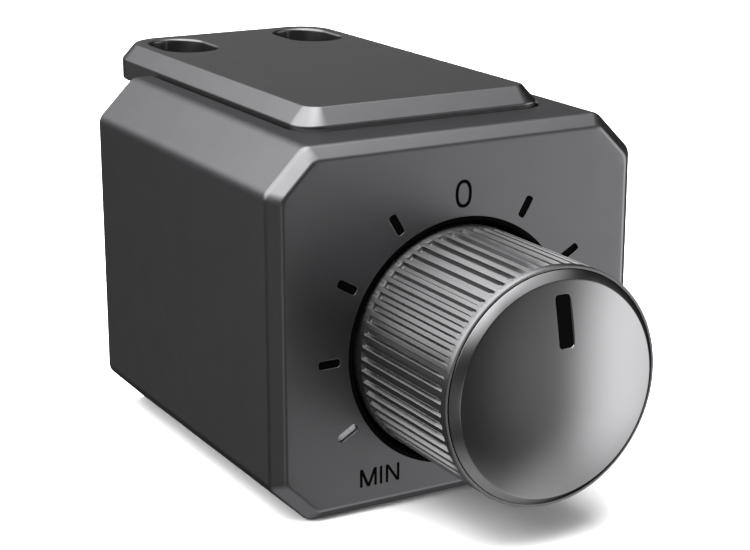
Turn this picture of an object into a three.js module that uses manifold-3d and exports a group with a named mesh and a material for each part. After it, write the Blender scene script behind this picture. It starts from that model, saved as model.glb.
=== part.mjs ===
// Brake controller unit: a small chamfered housing that hangs from a slotted mounting plate,
// with a ribbed dial knob on the front face that turns and can be pressed.
// Millimetres, +Z up. The knob points along -Y. The origin is the centre of the housing's
// underside; the pieces are drawn with the front face at y = 0 and moved there at the end.
import * as THREE from "three";
import { mergeVertices } from "three/addons/utils/BufferGeometryUtils.js";
import Module from "manifold-3d";

const wasm = await Module();
wasm.setup();

// ---------------------------------------------------------------- driving dimensions

const WIDTH = 40;
const HEIGHT = 36;
const DEPTH = 41;
const WALL = 2;
const CHAMFER = 4; // 45 degree cut along each of the four long edges
const RIM_BEVEL = 1.2; // bevel round the front face
const REAR_BEVEL = 0.6;
const EDGE_ROUND = 1; // arc radius where a chamfer meets a side
const CAVITY_TOP = 32.2; // underside of the roof that carries the mounting plate

const KNOB_Z = 15.6; // height of the knob's axis
const WELL_RADIUS = 12.2; // round recess that the knob sits in
const WELL_DEPTH = 4;
const WELL_WALL = 1.5;
const WELL_FLOOR = 1.8;
const LINER = 0.5; // thickness of the black cup that lines the well
const LINER_SUNK = 0.2; // how far its lip lies below the front face

const PLATE_WIDTH = 27;
const PLATE_FRONT = 6.2;
const PLATE_REAR = 54;
const PLATE_BOTTOM = 34.2;
const PLATE_EDGE = 36.4; // top of the plate's upright side, where its bevel starts
const PLATE_TOP = 38;
const PLATE_BEVEL = 1.4;
const PLATE_FRONT_RADIUS = 2.8;
const PLATE_REAR_RADIUS = 5.4;
const PLATE_GAP = 0.3; // shadow gap round the plate in its seat
const SLOT_X = 7.7;
const SLOT_Y = 46;
const SLOT_RADIUS = 3.05;
const SLOT_STRAIGHT = 3.5; // length of a slot's straight sides
const PLATE_SCREW_X = 8;
const PLATE_SCREW_Y = [14, 34];
const PLATE_PILOT_DEPTH = 2.4;

const SKIRT_RADIUS = 11.2;
const SKIRT_REAR = 1.2;
const SKIRT_FRONT = -15.3;
const SKIRT_WALL = 1.3;
const SKIRT_EDGE = 0.15; // bevel round the skirt's front edge
const RIB_COUNT = 60;
const POCKET_WIDTH = 0.66; // hollow between two neighbouring ribs
const POCKET_DEPTH = 0.35;
const POCKET_REAR = -0.4;
const POCKET_FRONT = -14.6;
const CAP_SEAT = -13.8; // plane on which the cap sits inside the skirt
const CAP_RADIUS = 10.85;
const CAP_FACE_RADIUS = 10.1;
const CAP_EDGE = -15.4;
const CAP_FACE = -16.05;
const CAP_DOME = 1.6; // height of the domed face above its edge
const POINTER_WIDTH = 1.44;
const POINTER_INNER = 4.1; // distance of the pointer's ends from the axis
const POINTER_OUTER = 8.7;
const POINTER_CORNER = 0.3;
const POINTER_FLOOR = -15.2;
const POINTER_SUNK = 0.12; // how far the pointer's face lies below the dome
const HUB_RADIUS = 5;
const HUB_REAR = -2;

const MARK_ANGLES = [-90, -60, -30, 30, 60, 90, 120]; // degrees clockwise from 12 o'clock
const STATUS_ANGLE = -120;
const MARK_INNER = 13.1;
const MARK_OUTER = 15.2;
const MARK_WIDTH = 0.72;
const MARK_DEPTH = 0.8;
const MARK_SUNK = 0.15; // how far a mark's face lies below the front face
const STATUS_SUNK = 0.4;
const STATUS_REAR = 22; // where the light pipe ends, in front of its lamp

const SHAFT_RADIUS = 3;
const SHAFT_FRONT = -12;
const SHAFT_REAR = 15;
const SHAFT_FLAT = 1.5; // distance of the D flat from the axis
const FRONT_FLAT_END = -1.5;
const REAR_FLAT_START = 5.5;
const GROOVE_RADIUS = 2.5; // bottom of the groove for the retaining ring
const GROOVE_START = 14.1;
const GROOVE_WIDTH = 0.6;
const RING_RADIUS = 4.4;
const RING_OPENING = 0.3 * Math.PI;
const CLIP_HALF = 1.6;
const CLIP_FRONT = -9.9;
const CLIP_REAR = -2.4;
const CLIP_SHEET = 0.45;

const BUSHING_RADIUS = 3.5;
const BUSHING_FRONT = 0.6;
const BUSHING_BEVEL = 0.3;
const FLANGE_RADIUS = 4.4;
const FLANGE_THICKNESS = 1;
const NUT_ACROSS = 10; // across its flats
const NUT_FRONT = 1.2;
const NUT_REAR = 3;
const WASHER_TEETH = 12;
const WASHER_RADII = [6, 5.2]; // tip and root of the teeth
const POT_FRONT = WELL_DEPTH + WELL_FLOOR;
const POT_REAR = 13;
const POT_WIDTH = 12.6;
const POT_WALL = 0.7;
const ROTOR_RADIUS = 5.2;
const ROTOR_FRONT = 7.2;
const ROTOR_FLANGE = 1.2;
const ROTOR_HUB_RADIUS = 4.2;
const ROTOR_REAR = 11.4;
const CONTACT_SHEET = 0.3;
const CONTACT_RADII = [4.1, 3.3]; // outside and inside of the contact's ring
const CONTACT_ARM_HALF = 0.6;
const CONTACT_TIP_RADIUS = 0.5;
const CONTACT_TIP_REAR = 12.7;
const TRACK_RADIUS = 4.7; // distance of the contact's tip from the axis
const WAFER_REAR = 14;
const WAFER_HOLE = 3.4;
const WAFER_TAIL = 1; // how far the wafer reaches below its terminals
const TERMINAL_X = [-5, 0, 5];
const TERMINAL_DROP = 7.4; // terminals' distance below the knob axis
const TERMINAL_HALF = [0.4, 0.25];
const TERMINAL_FRONT = 12.4;

const PUSH_TRAVEL = 1.5;
const PLUNGER_FRONT = 15.05;
const PLUNGER_HEAD = 1;
const PLUNGER_RADIUS = 3.2;
const STEM_RADIUS = 1.5;
const STEM_REAR = 21.5;
const SWITCH_FRONT = 18.6;
const SWITCH_SEAT = 20.8; // floor of the bore that holds the return spring
const SWITCH_SIDE = 11;
const SPRING_RADIUS = 2.5;
const SPRING_WIRE = 0.28;
const SPRING_COILS = 4;
const SPRING_BORE = 3.5;
const STEM_ROOM = 0.4; // space left behind the stem when the knob is pressed

const BOARD_FRONT = 24;
const BOARD_REAR = 25.6;
const BOARD_HALF = 13.2;
const BOARD_Z = [3.4, 29.4];
const POST_X = 11;
const POST_Z = [5.6, 27.2];
const POST_RADIUS = 1.9;
const POST_PILOT_END = 19;

const COVER_FRONT = 39;
const COVER_INSET = 0.9;
const COVER_TOP = 33;
const COVER_SINK = 0.8; // how far a screw's seat lies behind the cover's front
const GASKET_FRONT = 38.5;
const GASKET_LIP = 0.2; // how far the seal reaches in from the cavity's wall
const BOSS_X = 16;
const BOSS_Z = [6, 28];
const BOSS_RADIUS = 2.1;
const BOSS_FRONT = 30;
const BOSS_PILOT_END = 31;

const SOCKET_Z = 22.5;
const SOCKET_WIDTH = 14;
const SOCKET_HEIGHT = 7.5;
const SOCKET_REAR = 40.6;
const SOCKET_WALL = 1;
const SOCKET_FLOOR = 3;
const SOCKET_PLAY = 0.3; // gap between the socket and the cover's opening
const KEYWAY_HALF = 2;
const KEYWAY_RISE = 3.2;
const PIN_X = [-4.5, -1.5, 1.5, 4.5];
const PIN_HALF = 0.32;
const PIN_TAIL = 1; // how far a pin reaches through the board
const PIN_SUNK = 3.5; // how far a pin's tip lies inside the socket's mouth

// What the board carries: centre, size across, and height above the board.
const MCU = { x: 9.3, z: KNOB_Z, width: 7, height: 7, rise: 1 };
const ACCELEROMETER = { x: -9.5, z: KNOB_Z, width: 4, height: 4, rise: 1.1 };
const STATUS_LED = { x: -12, z: 8.6, width: 2, height: 1.4, rise: 1.2 };
const TRANSISTOR = { x: 7.2, z: 12.5, width: 10, height: 8.5, rise: 4.4 };
const TRANSISTOR_TAB = { x: 7.2, z: 14.9, width: 10, height: 3.7, rise: 1.3 };
const DIODE = { x: 6, z: 5.8, radius: 1.3, length: 5, lift: 0.05 };
const CAPACITORS = {
  capacitor_large: { x: -7.6, z: 11.2, radius: 4, length: 11 },
  capacitor_small: { x: -1, z: 7, radius: 2.5, length: 7 },
};

// Screws: head radius and height, shank radius and length, and the radii of the clear hole
// that each passes through and of the pilot hole that it is driven into.
const COVER_SCREW = { head: 2.1, rise: 1.1, shank: 1.2, length: 7.8, clear: 1.4, pilot: 1.25 };
const BOARD_SCREW = { head: 1.8, rise: 1.2, shank: 0.95, length: 6, clear: 1.05, pilot: 1 };
const PLATE_SCREW = { head: 2.2, rise: 1.4, shank: 1.25, length: 4.2, clear: 1.4, pilot: 1.3 };

const TOUCH = 0.02; // gap between two pieces that rest against each other
const FIT = 0.05; // play on each side of a piece that is pressed or glued in
const RUNNING_GAP = 0.06; // play on each side between pieces that turn or slide
const CLEAR = 0.1; // play on each side where a piece only passes through
const INLAY_GAP = 0.03; // play on each side of an inlaid mark
const PAST = 1; // how far a cutting tool runs past the solid it cuts
const CLIP_FLOOR = SHAFT_FLAT + RUNNING_GAP + FIT; // underside of the leaf clip

const FINE = 48; // facets round the circles that show
const MEDIUM = 24; // facets round running fits and larger hidden circles
const COARSE = 12; // facets round screws, pilot holes and posts

// ---------------------------------------------------------------- materials

const finish = (color, roughness, metalness) =>
  new THREE.MeshStandardMaterial({ color, roughness, metalness });

const GUNMETAL = finish(0x55565a, 0.45, 0.6);
const SATIN_METAL = finish(0x77787c, 0.3, 0.9);
const BLACK_PLASTIC = finish(0x0c0c0d, 0.5, 0);
const GREY_PLASTIC = finish(0x3a3b3e, 0.6, 0);
const PALE_LENS = finish(0x9a9ba0, 0.3, 0);
const STEEL = finish(0x9c9ea3, 0.35, 0.9);
const BRASS = finish(0xb08d4a, 0.35, 0.9);
const RUBBER = finish(0x1a1a1b, 0.9, 0);
const BOARD_GREEN = finish(0x1d4a2c, 0.5, 0);
const PHENOLIC = finish(0x7a5232, 0.7, 0);
const CAN_ALUMINIUM = finish(0xb4b6ba, 0.3, 0.9);

// ---------------------------------------------------------------- solids

function solidOf(geometry) {
  const bare = geometry.clone();
  bare.deleteAttribute("normal");
  bare.deleteAttribute("uv");
  const merged = mergeVertices(bare, 1e-4);
  const index = merged.index.array;
  const kept = [];
  for (let i = 0; i < index.length; i += 3) {
    const [a, b, c] = [index[i], index[i + 1], index[i + 2]];
    if (a !== b && b !== c && c !== a) kept.push(a, b, c);
  }
  return new wasm.Manifold(
    new wasm.Mesh({
      numProp: 3,
      vertProperties: new Float32Array(merged.attributes.position.array),
      triVerts: new Uint32Array(kept),
    }),
  );
}

function geometryOf(solid) {
  const mesh = solid.getMesh();
  return new THREE.BufferGeometry()
    .setAttribute("position", new THREE.BufferAttribute(mesh.vertProperties, 3))
    .setIndex(new THREE.BufferAttribute(mesh.triVerts, 1));
}

const joined = (solids) => solids.reduce((sum, next) => sum.add(next));
const cut = (solid, tools) => tools.reduce((rest, tool) => rest.subtract(tool), solid);

// A box given by its lowest and highest corners.
function box(low, high) {
  const size = low.map((value, i) => high[i] - value);
  const centre = low.map((value, i) => (high[i] + value) / 2);
  return solidOf(new THREE.BoxGeometry(...size).translate(...centre));
}

// A rod along Y between two planes, on the line (x, z).
function rod(radius, y0, y1, x = 0, z = 0, segments = MEDIUM) {
  const geometry = new THREE.CylinderGeometry(radius, radius, y1 - y0, segments);
  return solidOf(geometry.translate(x, (y0 + y1) / 2, z));
}

// A rod along Z between two planes, on the line (x, y).
function post(radius, z0, z1, x, y, segments = COARSE) {
  const geometry = new THREE.CylinderGeometry(radius, radius, z1 - z0, segments);
  return solidOf(geometry.rotateX(Math.PI / 2).translate(x, y, (z0 + z1) / 2));
}

// A body turned about the Y axis; the profile of [radius, y] runs counterclockwise.
function turned(profile, segments = FINE) {
  const points = profile.map(([radius, y]) => new THREE.Vector2(radius, y));
  if (profile[0][0] > 0) points.push(points[0].clone());
  return solidOf(new THREE.LatheGeometry(points, segments));
}

// A shape drawn in the front view (x across, z up), running from plane y0 back to plane y1.
function frontPrism(shape, y0, y1, curveSegments = 8) {
  const options = { depth: y1 - y0, bevelEnabled: false, curveSegments };
  const geometry = new THREE.ExtrudeGeometry(shape, options);
  return solidOf(geometry.rotateX(Math.PI / 2).translate(0, y1, 0));
}

// A closed skin through rings of points that all have the same number of points.
function lofted(rings) {
  const count = rings[0].length;
  const position = rings.flat().flatMap((point) => point.toArray());
  const index = [];
  for (let ring = 0; ring + 1 < rings.length; ring++) {
    for (let i = 0; i < count; i++) {
      const a = ring * count + i;
      const b = ring * count + ((i + 1) % count);
      index.push(a, b, b + count, a, b + count, a + count);
    }
  }
  const flat = rings[0].map((point) => new THREE.Vector2(point.x, point.y || point.z));
  const caps = THREE.ShapeUtils.triangulateShape(flat, []);
  const last = (rings.length - 1) * count;
  for (const [a, b, c] of caps) {
    index.push(a, c, b);
    index.push(last + a, last + b, last + c);
  }
  const geometry = new THREE.BufferGeometry();
  geometry.setAttribute("position", new THREE.Float32BufferAttribute(position, 3));
  geometry.setIndex(index);
  const solid = solidOf(geometry);
  return solid.volume() > 0 ? solid : solidOf(reversed(geometry));
}

function reversed(geometry) {
  const index = [...geometry.index.array];
  for (let i = 0; i < index.length; i += 3) {
    [index[i], index[i + 1]] = [index[i + 1], index[i]];
  }
  return geometry.clone().setIndex(index);
}

// ---------------------------------------------------------------- outlines

// Corner points joined by straight sides, each corner rounded by its own arc of `steps` points.
function roundedCorners(corners, steps) {
  const points = [];
  corners.forEach(({ at, radius }, i) => {
    const before = corners[(i + corners.length - 1) % corners.length].at;
    const after = corners[(i + 1) % corners.length].at;
    const back = before.clone().sub(at).normalize();
    const ahead = after.clone().sub(at).normalize();
    const half = Math.acos(THREE.MathUtils.clamp(back.dot(ahead), -1, 1)) / 2;
    const centre = at
      .clone()
      .addScaledVector(back.clone().add(ahead).normalize(), radius / Math.sin(half));
    const first = at.clone().addScaledVector(back, radius / Math.tan(half)).sub(centre);
    const last = at.clone().addScaledVector(ahead, radius / Math.tan(half)).sub(centre);
    const turn = Math.atan2(first.cross(last), first.dot(last));
    for (let step = 0; step < steps; step++) {
      const angle = (turn * step) / (steps - 1);
      points.push(first.clone().rotateAround(new THREE.Vector2(), angle).add(centre));
    }
  });
  return points;
}

// The housing's front view, shrunk by `inset`: a rectangle with its corners cut at 45 degrees.
function housingOutline(inset, top = HEIGHT - inset, rounding = EDGE_ROUND) {
  const half = WIDTH / 2 - inset;
  const bottom = inset;
  const low = CHAMFER - inset * (2 - Math.SQRT2);
  const high = Math.max(top - (HEIGHT - inset) + low, 1);
  const corners = [
    [-half + low, bottom],
    [half - low, bottom],
    [half, bottom + low],
    [half, top - high],
    [half - high, top],
    [-half + high, top],
    [-half, top - high],
    [-half, bottom + low],
  ];
  const named = corners.map(([x, z]) => ({ at: new THREE.Vector2(x, z), radius: rounding }));
  return roundedCorners(named, 3);
}

const ringAtY = (outline, y) => outline.map(({ x, y: z }) => new THREE.Vector3(x, y, z));
const ringAtZ = (outline, z) => outline.map(({ x, y }) => new THREE.Vector3(x, y, z));
const housingPrism = (inset, top, y0, y1) =>
  frontPrism(new THREE.Shape(housingOutline(inset, top)), y0, y1);

// The mounting plate's plan, grown by `grow` all round.
function plateOutline(grow) {
  const half = PLATE_WIDTH / 2 + grow;
  const front = { radius: PLATE_FRONT_RADIUS + grow, y: PLATE_FRONT - grow };
  const rear = { radius: PLATE_REAR_RADIUS + grow, y: PLATE_REAR + grow };
  const corners = [
    { at: new THREE.Vector2(-half, front.y), radius: front.radius },
    { at: new THREE.Vector2(half, front.y), radius: front.radius },
    { at: new THREE.Vector2(half, rear.y), radius: rear.radius },
    { at: new THREE.Vector2(-half, rear.y), radius: rear.radius },
  ];
  return roundedCorners(corners, 5);
}

// A round-ended mounting slot through z0 to z1, running front to back.
function slot(x, y, z0, z1) {
  const shape = new THREE.Shape();
  shape.absarc(x, y + SLOT_STRAIGHT / 2, SLOT_RADIUS, 0, Math.PI, false);
  shape.absarc(x, y - SLOT_STRAIGHT / 2, SLOT_RADIUS, Math.PI, 2 * Math.PI, false);
  const options = { depth: z1 - z0, bevelEnabled: false, curveSegments: 10 };
  return solidOf(new THREE.ExtrudeGeometry(shape, options).translate(0, 0, z0));
}

// A dial mark: a short radial bar between two planes, at an angle clockwise from 12 o'clock.
function mark(degrees, clearance, y0, y1) {
  const half = MARK_WIDTH / 2 + clearance;
  const inner = MARK_INNER - clearance;
  const length = MARK_OUTER + clearance - inner;
  const geometry = new THREE.BoxGeometry(2 * half, y1 - y0, length);
  geometry.translate(0, (y0 + y1) / 2, inner + length / 2);
  geometry.rotateY(THREE.MathUtils.degToRad(degrees));
  return solidOf(geometry.translate(0, 0, KNOB_Z));
}

// The D section of the shaft, with its flat on the upper side.
function dSection(radius, flat, y0, y1) {
  const wide = radius + PAST;
  return rod(radius, y0, y1).subtract(box([-wide, y0 - PAST, flat], [wide, y1 + PAST, wide]));
}

// A screw along Y: its head lies from y = 0 towards -Y, its shank runs towards +Y.
function screw({ head, rise, shank, length }) {
  const crown = 0.85 * head;
  const shoulder = 0.7 * rise;
  const keyRadius = 0.52 * head;
  const keyFloor = 0.4 * rise;
  const body = turned(
    [
      [0, -rise],
      [crown, -rise],
      [head, -shoulder],
      [head, 0],
      [shank, 0],
      [shank, length],
      [0, length],
    ],
    COARSE,
  );
  return body.subtract(rod(keyRadius, -rise - PAST, -keyFloor, 0, 0, 6));
}

// ---------------------------------------------------------------- housing and covers

function housing() {
  const shell = lofted([
    ringAtY(housingOutline(RIM_BEVEL), 0),
    ringAtY(housingOutline(0), RIM_BEVEL),
    ringAtY(housingOutline(0), DEPTH - REAR_BEVEL),
    ringAtY(housingOutline(REAR_BEVEL), DEPTH),
  ]);
  const hollow = housingPrism(WALL, CAVITY_TOP, WALL, DEPTH + PAST);
  const coverSeat = housingPrism(COVER_INSET, COVER_TOP, GASKET_FRONT, DEPTH + PAST);
  const plateSeat = lofted([
    ringAtZ(plateOutline(PLATE_GAP), PLATE_BOTTOM),
    ringAtZ(plateOutline(PLATE_GAP), HEIGHT + PAST),
  ]);
  const well = rod(WELL_RADIUS, -PAST, WELL_DEPTH, 0, KNOB_Z, FINE);
  const wellTube = rod(WELL_RADIUS + WELL_WALL, WALL / 2, POT_FRONT, 0, KNOB_Z);
  const shaftHole = rod(BUSHING_RADIUS + CLEAR, 0, POT_FRONT + PAST, 0, KNOB_Z);

  const boardPosts = [];
  const boardPilots = [];
  const coverBosses = [];
  const coverPilots = [];
  for (const side of [-1, 1]) {
    for (const z of POST_Z) {
      const x = side * POST_X;
      boardPosts.push(rod(POST_RADIUS, WALL / 2, BOARD_FRONT, x, z, COARSE));
      boardPilots.push(rod(BOARD_SCREW.pilot, POST_PILOT_END, BOARD_FRONT + PAST, x, z, COARSE));
    }
    for (const z of BOSS_Z) {
      const x = side * BOSS_X;
      coverBosses.push(rod(BOSS_RADIUS, BOSS_FRONT, COVER_FRONT, x, z, COARSE));
      coverPilots.push(rod(COVER_SCREW.pilot, BOSS_PILOT_END, COVER_FRONT + PAST, x, z, COARSE));
    }
  }
  const [roofLow, roofHigh] = [CAVITY_TOP - PAST, PLATE_BOTTOM + PAST];
  const plateScrewHoles = PLATE_SCREW_Y.flatMap((y) =>
    [-1, 1].map((side) => post(PLATE_SCREW.clear, roofLow, roofHigh, side * PLATE_SCREW_X, y)),
  );
  const markPockets = MARK_ANGLES.map((angle) => mark(angle, INLAY_GAP, -PAST, MARK_DEPTH));
  const statusHole = mark(STATUS_ANGLE, FIT, -PAST, POT_FRONT + PAST);

  const hollowShell = cut(shell, [hollow, coverSeat, plateSeat]);
  const withPosts = joined([hollowShell, wellTube, ...boardPosts, ...coverBosses]);
  return cut(withPosts, [
    well,
    shaftHole,
    ...boardPilots,
    ...coverPilots,
    ...plateScrewHoles,
    ...markPockets,
    statusHole,
  ]);
}

function rearCover() {
  const plate = housingPrism(COVER_INSET + CLEAR, COVER_TOP - CLEAR, COVER_FRONT, DEPTH);
  const opening = socketBlock(SOCKET_PLAY, COVER_FRONT - PAST, DEPTH + PAST);
  const sinkRadius = COVER_SCREW.head + FIT + CLEAR;
  const holes = [];
  for (const side of [-1, 1]) {
    for (const z of BOSS_Z) {
      const x = side * BOSS_X;
      holes.push(rod(COVER_SCREW.clear, COVER_FRONT - PAST, DEPTH + PAST, x, z, COARSE));
      holes.push(rod(sinkRadius, COVER_FRONT + COVER_SINK, DEPTH + PAST, x, z, COARSE));
    }
  }
  return cut(plate, [opening, ...holes]);
}

function rearGasket() {
  const [front, rear] = [GASKET_FRONT, COVER_FRONT];
  const outer = housingPrism(COVER_INSET + CLEAR, COVER_TOP - CLEAR, front, rear);
  const inner = housingPrism(WALL - GASKET_LIP, CAVITY_TOP + GASKET_LIP, front - PAST, rear + PAST);
  return outer.subtract(inner);
}

function mountingPlate() {
  const body = lofted([
    ringAtZ(plateOutline(0), PLATE_BOTTOM),
    ringAtZ(plateOutline(0), PLATE_EDGE),
    ringAtZ(plateOutline(-PLATE_BEVEL), PLATE_TOP),
  ]);
  const cuts = [];
  for (const side of [-1, 1]) {
    cuts.push(slot(side * SLOT_X, SLOT_Y, PLATE_BOTTOM - PAST, PLATE_TOP + PAST));
    for (const y of PLATE_SCREW_Y) {
      const [low, high] = [PLATE_BOTTOM - PAST, PLATE_BOTTOM + PLATE_PILOT_DEPTH];
      cuts.push(post(PLATE_SCREW.pilot, low, high, side * PLATE_SCREW_X, y));
    }
  }
  return cut(body, cuts);
}

// The cup of black plastic that lines the well round the knob.
function wellLiner() {
  const outer = WELL_RADIUS - FIT;
  const hole = BUSHING_RADIUS + CLEAR;
  const floor = WELL_DEPTH - LINER;
  return turned(
    [
      [hole, floor],
      [outer - LINER, floor],
      [outer - LINER, LINER_SUNK],
      [outer, LINER_SUNK],
      [outer, WELL_DEPTH],
      [hole, WELL_DEPTH],
    ],
    FINE,
  );
}

// ---------------------------------------------------------------- knob, about its own axis

function knobSkirt() {
  const web = CAP_SEAT + SKIRT_WALL;
  const blank = turned(
    [
      [0, SKIRT_FRONT],
      [SKIRT_RADIUS - SKIRT_EDGE, SKIRT_FRONT],
      [SKIRT_RADIUS, SKIRT_FRONT + SKIRT_EDGE],
      [SKIRT_RADIUS, SKIRT_REAR],
      [0, SKIRT_REAR],
    ],
    RIB_COUNT,
  );
  const capSeat = rod(CAP_RADIUS + FIT, SKIRT_FRONT - PAST, CAP_SEAT, 0, 0, FINE);
  const hollow = rod(SKIRT_RADIUS - SKIRT_WALL, web, SKIRT_REAR + PAST);
  const hub = rod(HUB_RADIUS, web - SKIRT_WALL / 2, HUB_REAR);
  const shell = cut(blank, [capSeat, hollow]).add(hub);
  const bore = dSection(
    SHAFT_RADIUS + RUNNING_GAP,
    SHAFT_FLAT + RUNNING_GAP,
    SHAFT_FRONT - RUNNING_GAP,
    HUB_REAR + PAST,
  );
  const slotHalf = CLIP_HALF + CLEAR;
  const slotTop = CLIP_FLOOR + CLIP_SHEET + CLEAR;
  const clipSlot = box(
    [-slotHalf, CLIP_FRONT - CLEAR, SHAFT_FLAT - CLEAR],
    [slotHalf, HUB_REAR + PAST, slotTop],
  );
  const pockets = [];
  const floor = SKIRT_RADIUS * Math.cos(Math.PI / RIB_COUNT) - POCKET_DEPTH;
  for (let i = 0; i < RIB_COUNT; i++) {
    const pocket = new THREE.BoxGeometry(POCKET_WIDTH, POCKET_REAR - POCKET_FRONT, PAST);
    pocket.translate(0, (POCKET_FRONT + POCKET_REAR) / 2, floor + PAST / 2);
    pocket.rotateY((2 * Math.PI * (i + 0.5)) / RIB_COUNT);
    pockets.push(solidOf(pocket));
  }
  return cut(shell, [bore, clipSlot, ...pockets]);
}

// The cap without its pointer; `sunk` lowers its domed face.
function capBlank(sunk = 0) {
  const domeRadius = (CAP_FACE_RADIUS ** 2 + CAP_DOME ** 2) / (2 * CAP_DOME);
  const apex = CAP_FACE - CAP_DOME + sunk;
  const rings = 4;
  const profile = [[0, apex]];
  for (let i = 1; i <= rings; i++) {
    const radius = (CAP_FACE_RADIUS * i) / rings;
    const drop = domeRadius - Math.sqrt(domeRadius ** 2 - radius ** 2);
    profile.push([radius, apex + drop]);
  }
  profile.push([CAP_RADIUS, CAP_EDGE + sunk], [CAP_RADIUS, CAP_SEAT], [0, CAP_SEAT]);
  return turned(profile);
}

const knobCap = () => capBlank().subtract(pointerBar(INLAY_GAP));
const pointerInlay = () => capBlank(POINTER_SUNK).intersect(pointerBar(0));

// The straight pointer bar on the cap, pointing up to 12 o'clock.
function pointerBar(clearance) {
  const half = POINTER_WIDTH / 2 + clearance;
  const inner = POINTER_INNER - clearance;
  const outer = POINTER_OUTER + clearance;
  const corners = [
    [-half, inner],
    [half, inner],
    [half, outer],
    [-half, outer],
  ].map(([x, z]) => ({ at: new THREE.Vector2(x, z), radius: POINTER_CORNER }));
  const shape = new THREE.Shape(roundedCorners(corners, 4));
  return frontPrism(shape, CAP_FACE - CAP_DOME - PAST, POINTER_FLOOR);
}

// A leaf spring that presses on the shaft's flat and holds the knob on.
function shaftClip() {
  return box([-CLIP_HALF, CLIP_FRONT, CLIP_FLOOR], [CLIP_HALF, CLIP_REAR, CLIP_FLOOR + CLIP_SHEET]);
}

function knobShaft() {
  const round = rod(SHAFT_RADIUS, SHAFT_FRONT, SHAFT_REAR);
  const wide = SHAFT_RADIUS + PAST;
  const frontFlat = box([-wide, SHAFT_FRONT - PAST, SHAFT_FLAT], [wide, FRONT_FLAT_END, wide]);
  const rearFlat = box([-wide, REAR_FLAT_START, SHAFT_FLAT], [wide, SHAFT_REAR + PAST, wide]);
  const grooveEnd = GROOVE_START + GROOVE_WIDTH;
  const groove = turned(
    [
      [GROOVE_RADIUS, GROOVE_START],
      [wide, GROOVE_START],
      [wide, grooveEnd],
      [GROOVE_RADIUS, grooveEnd],
    ],
    MEDIUM,
  );
  return cut(round, [frontFlat, rearFlat, groove]);
}

// An open ring that snaps into the shaft's groove and stops the knob being pulled out.
function retainingRing() {
  const start = -Math.PI / 2 + RING_OPENING / 2;
  const end = start + 2 * Math.PI - RING_OPENING;
  const ring = new THREE.Shape();
  ring.absarc(0, 0, RING_RADIUS, start, end, false);
  ring.absarc(0, 0, GROOVE_RADIUS + RUNNING_GAP, end, start, true);
  return frontPrism(ring, GROOVE_START + FIT, GROOVE_START + GROOVE_WIDTH - FIT, 16);
}

// ---------------------------------------------------------------- potentiometer, on the knob axis

function potBushing() {
  const bore = SHAFT_RADIUS + RUNNING_GAP;
  return turned(
    [
      [bore, BUSHING_FRONT],
      [BUSHING_RADIUS - BUSHING_BEVEL, BUSHING_FRONT],
      [BUSHING_RADIUS, BUSHING_FRONT + BUSHING_BEVEL],
      [BUSHING_RADIUS, POT_FRONT],
      [FLANGE_RADIUS, POT_FRONT],
      [FLANGE_RADIUS, POT_FRONT + FLANGE_THICKNESS],
      [bore, POT_FRONT + FLANGE_THICKNESS],
    ],
    MEDIUM,
  );
}

function bushingNut() {
  const hexagon = rod(NUT_ACROSS / Math.sqrt(3), NUT_FRONT, NUT_REAR, 0, 0, 6);
  return hexagon.subtract(rod(BUSHING_RADIUS + RUNNING_GAP, NUT_FRONT - PAST, NUT_REAR + PAST));
}

// A thin washer with teeth that bite the nut and the cup.
function lockWasher() {
  const points = [];
  for (let i = 0; i < 2 * WASHER_TEETH; i++) {
    const corner = new THREE.Vector2(WASHER_RADII[i % 2], 0);
    points.push(corner.rotateAround(new THREE.Vector2(), (Math.PI * i) / WASHER_TEETH));
  }
  const [front, rear] = [NUT_REAR + FIT, WELL_DEPTH - LINER - TOUCH];
  const blank = frontPrism(new THREE.Shape(points), front, rear);
  return blank.subtract(rod(BUSHING_RADIUS + CLEAR, front - PAST, rear + PAST));
}

function potCase() {
  const half = POT_WIDTH / 2;
  const inside = half - POT_WALL;
  const floor = POT_FRONT + FLANGE_THICKNESS;
  const block = box([-half, POT_FRONT, -half], [half, POT_REAR, half]);
  const hollow = box([-inside, floor, -inside], [inside, POT_REAR + PAST, inside]);
  return cut(block, [hollow, rod(FLANGE_RADIUS + FIT, POT_FRONT - PAST, floor + PAST)]);
}

function wiperRotor() {
  const flange = rod(ROTOR_RADIUS, ROTOR_FRONT, ROTOR_FRONT + ROTOR_FLANGE);
  const hub = rod(ROTOR_HUB_RADIUS, ROTOR_FRONT + ROTOR_FLANGE / 2, ROTOR_REAR);
  const bore = dSection(
    SHAFT_RADIUS + RUNNING_GAP,
    SHAFT_FLAT + RUNNING_GAP,
    ROTOR_FRONT - PAST,
    ROTOR_REAR + PAST,
  );
  return flange.add(hub).subtract(bore);
}

// The springy contact that the rotor drags round the track.
function wiperContact() {
  const front = ROTOR_REAR + TOUCH;
  const rear = front + CONTACT_SHEET;
  const [outer, inner] = CONTACT_RADII;
  const half = CONTACT_ARM_HALF;
  const ring = rod(outer, front, rear).subtract(rod(inner, front - PAST, rear + PAST));
  const arm = box([(outer + inner) / 2, front, -half], [TRACK_RADIUS + half, rear, half]);
  const middle = (front + rear) / 2;
  const tip = rod(CONTACT_TIP_RADIUS, middle, CONTACT_TIP_REAR, TRACK_RADIUS, 0, COARSE);
  return joined([ring, arm, tip]);
}

function terminalBox(x, clearance, y0, y1) {
  const [halfX, halfZ] = TERMINAL_HALF.map((half) => half + clearance);
  return box([x - halfX, y0, -TERMINAL_DROP - halfZ], [x + halfX, y1, -TERMINAL_DROP + halfZ]);
}

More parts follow.
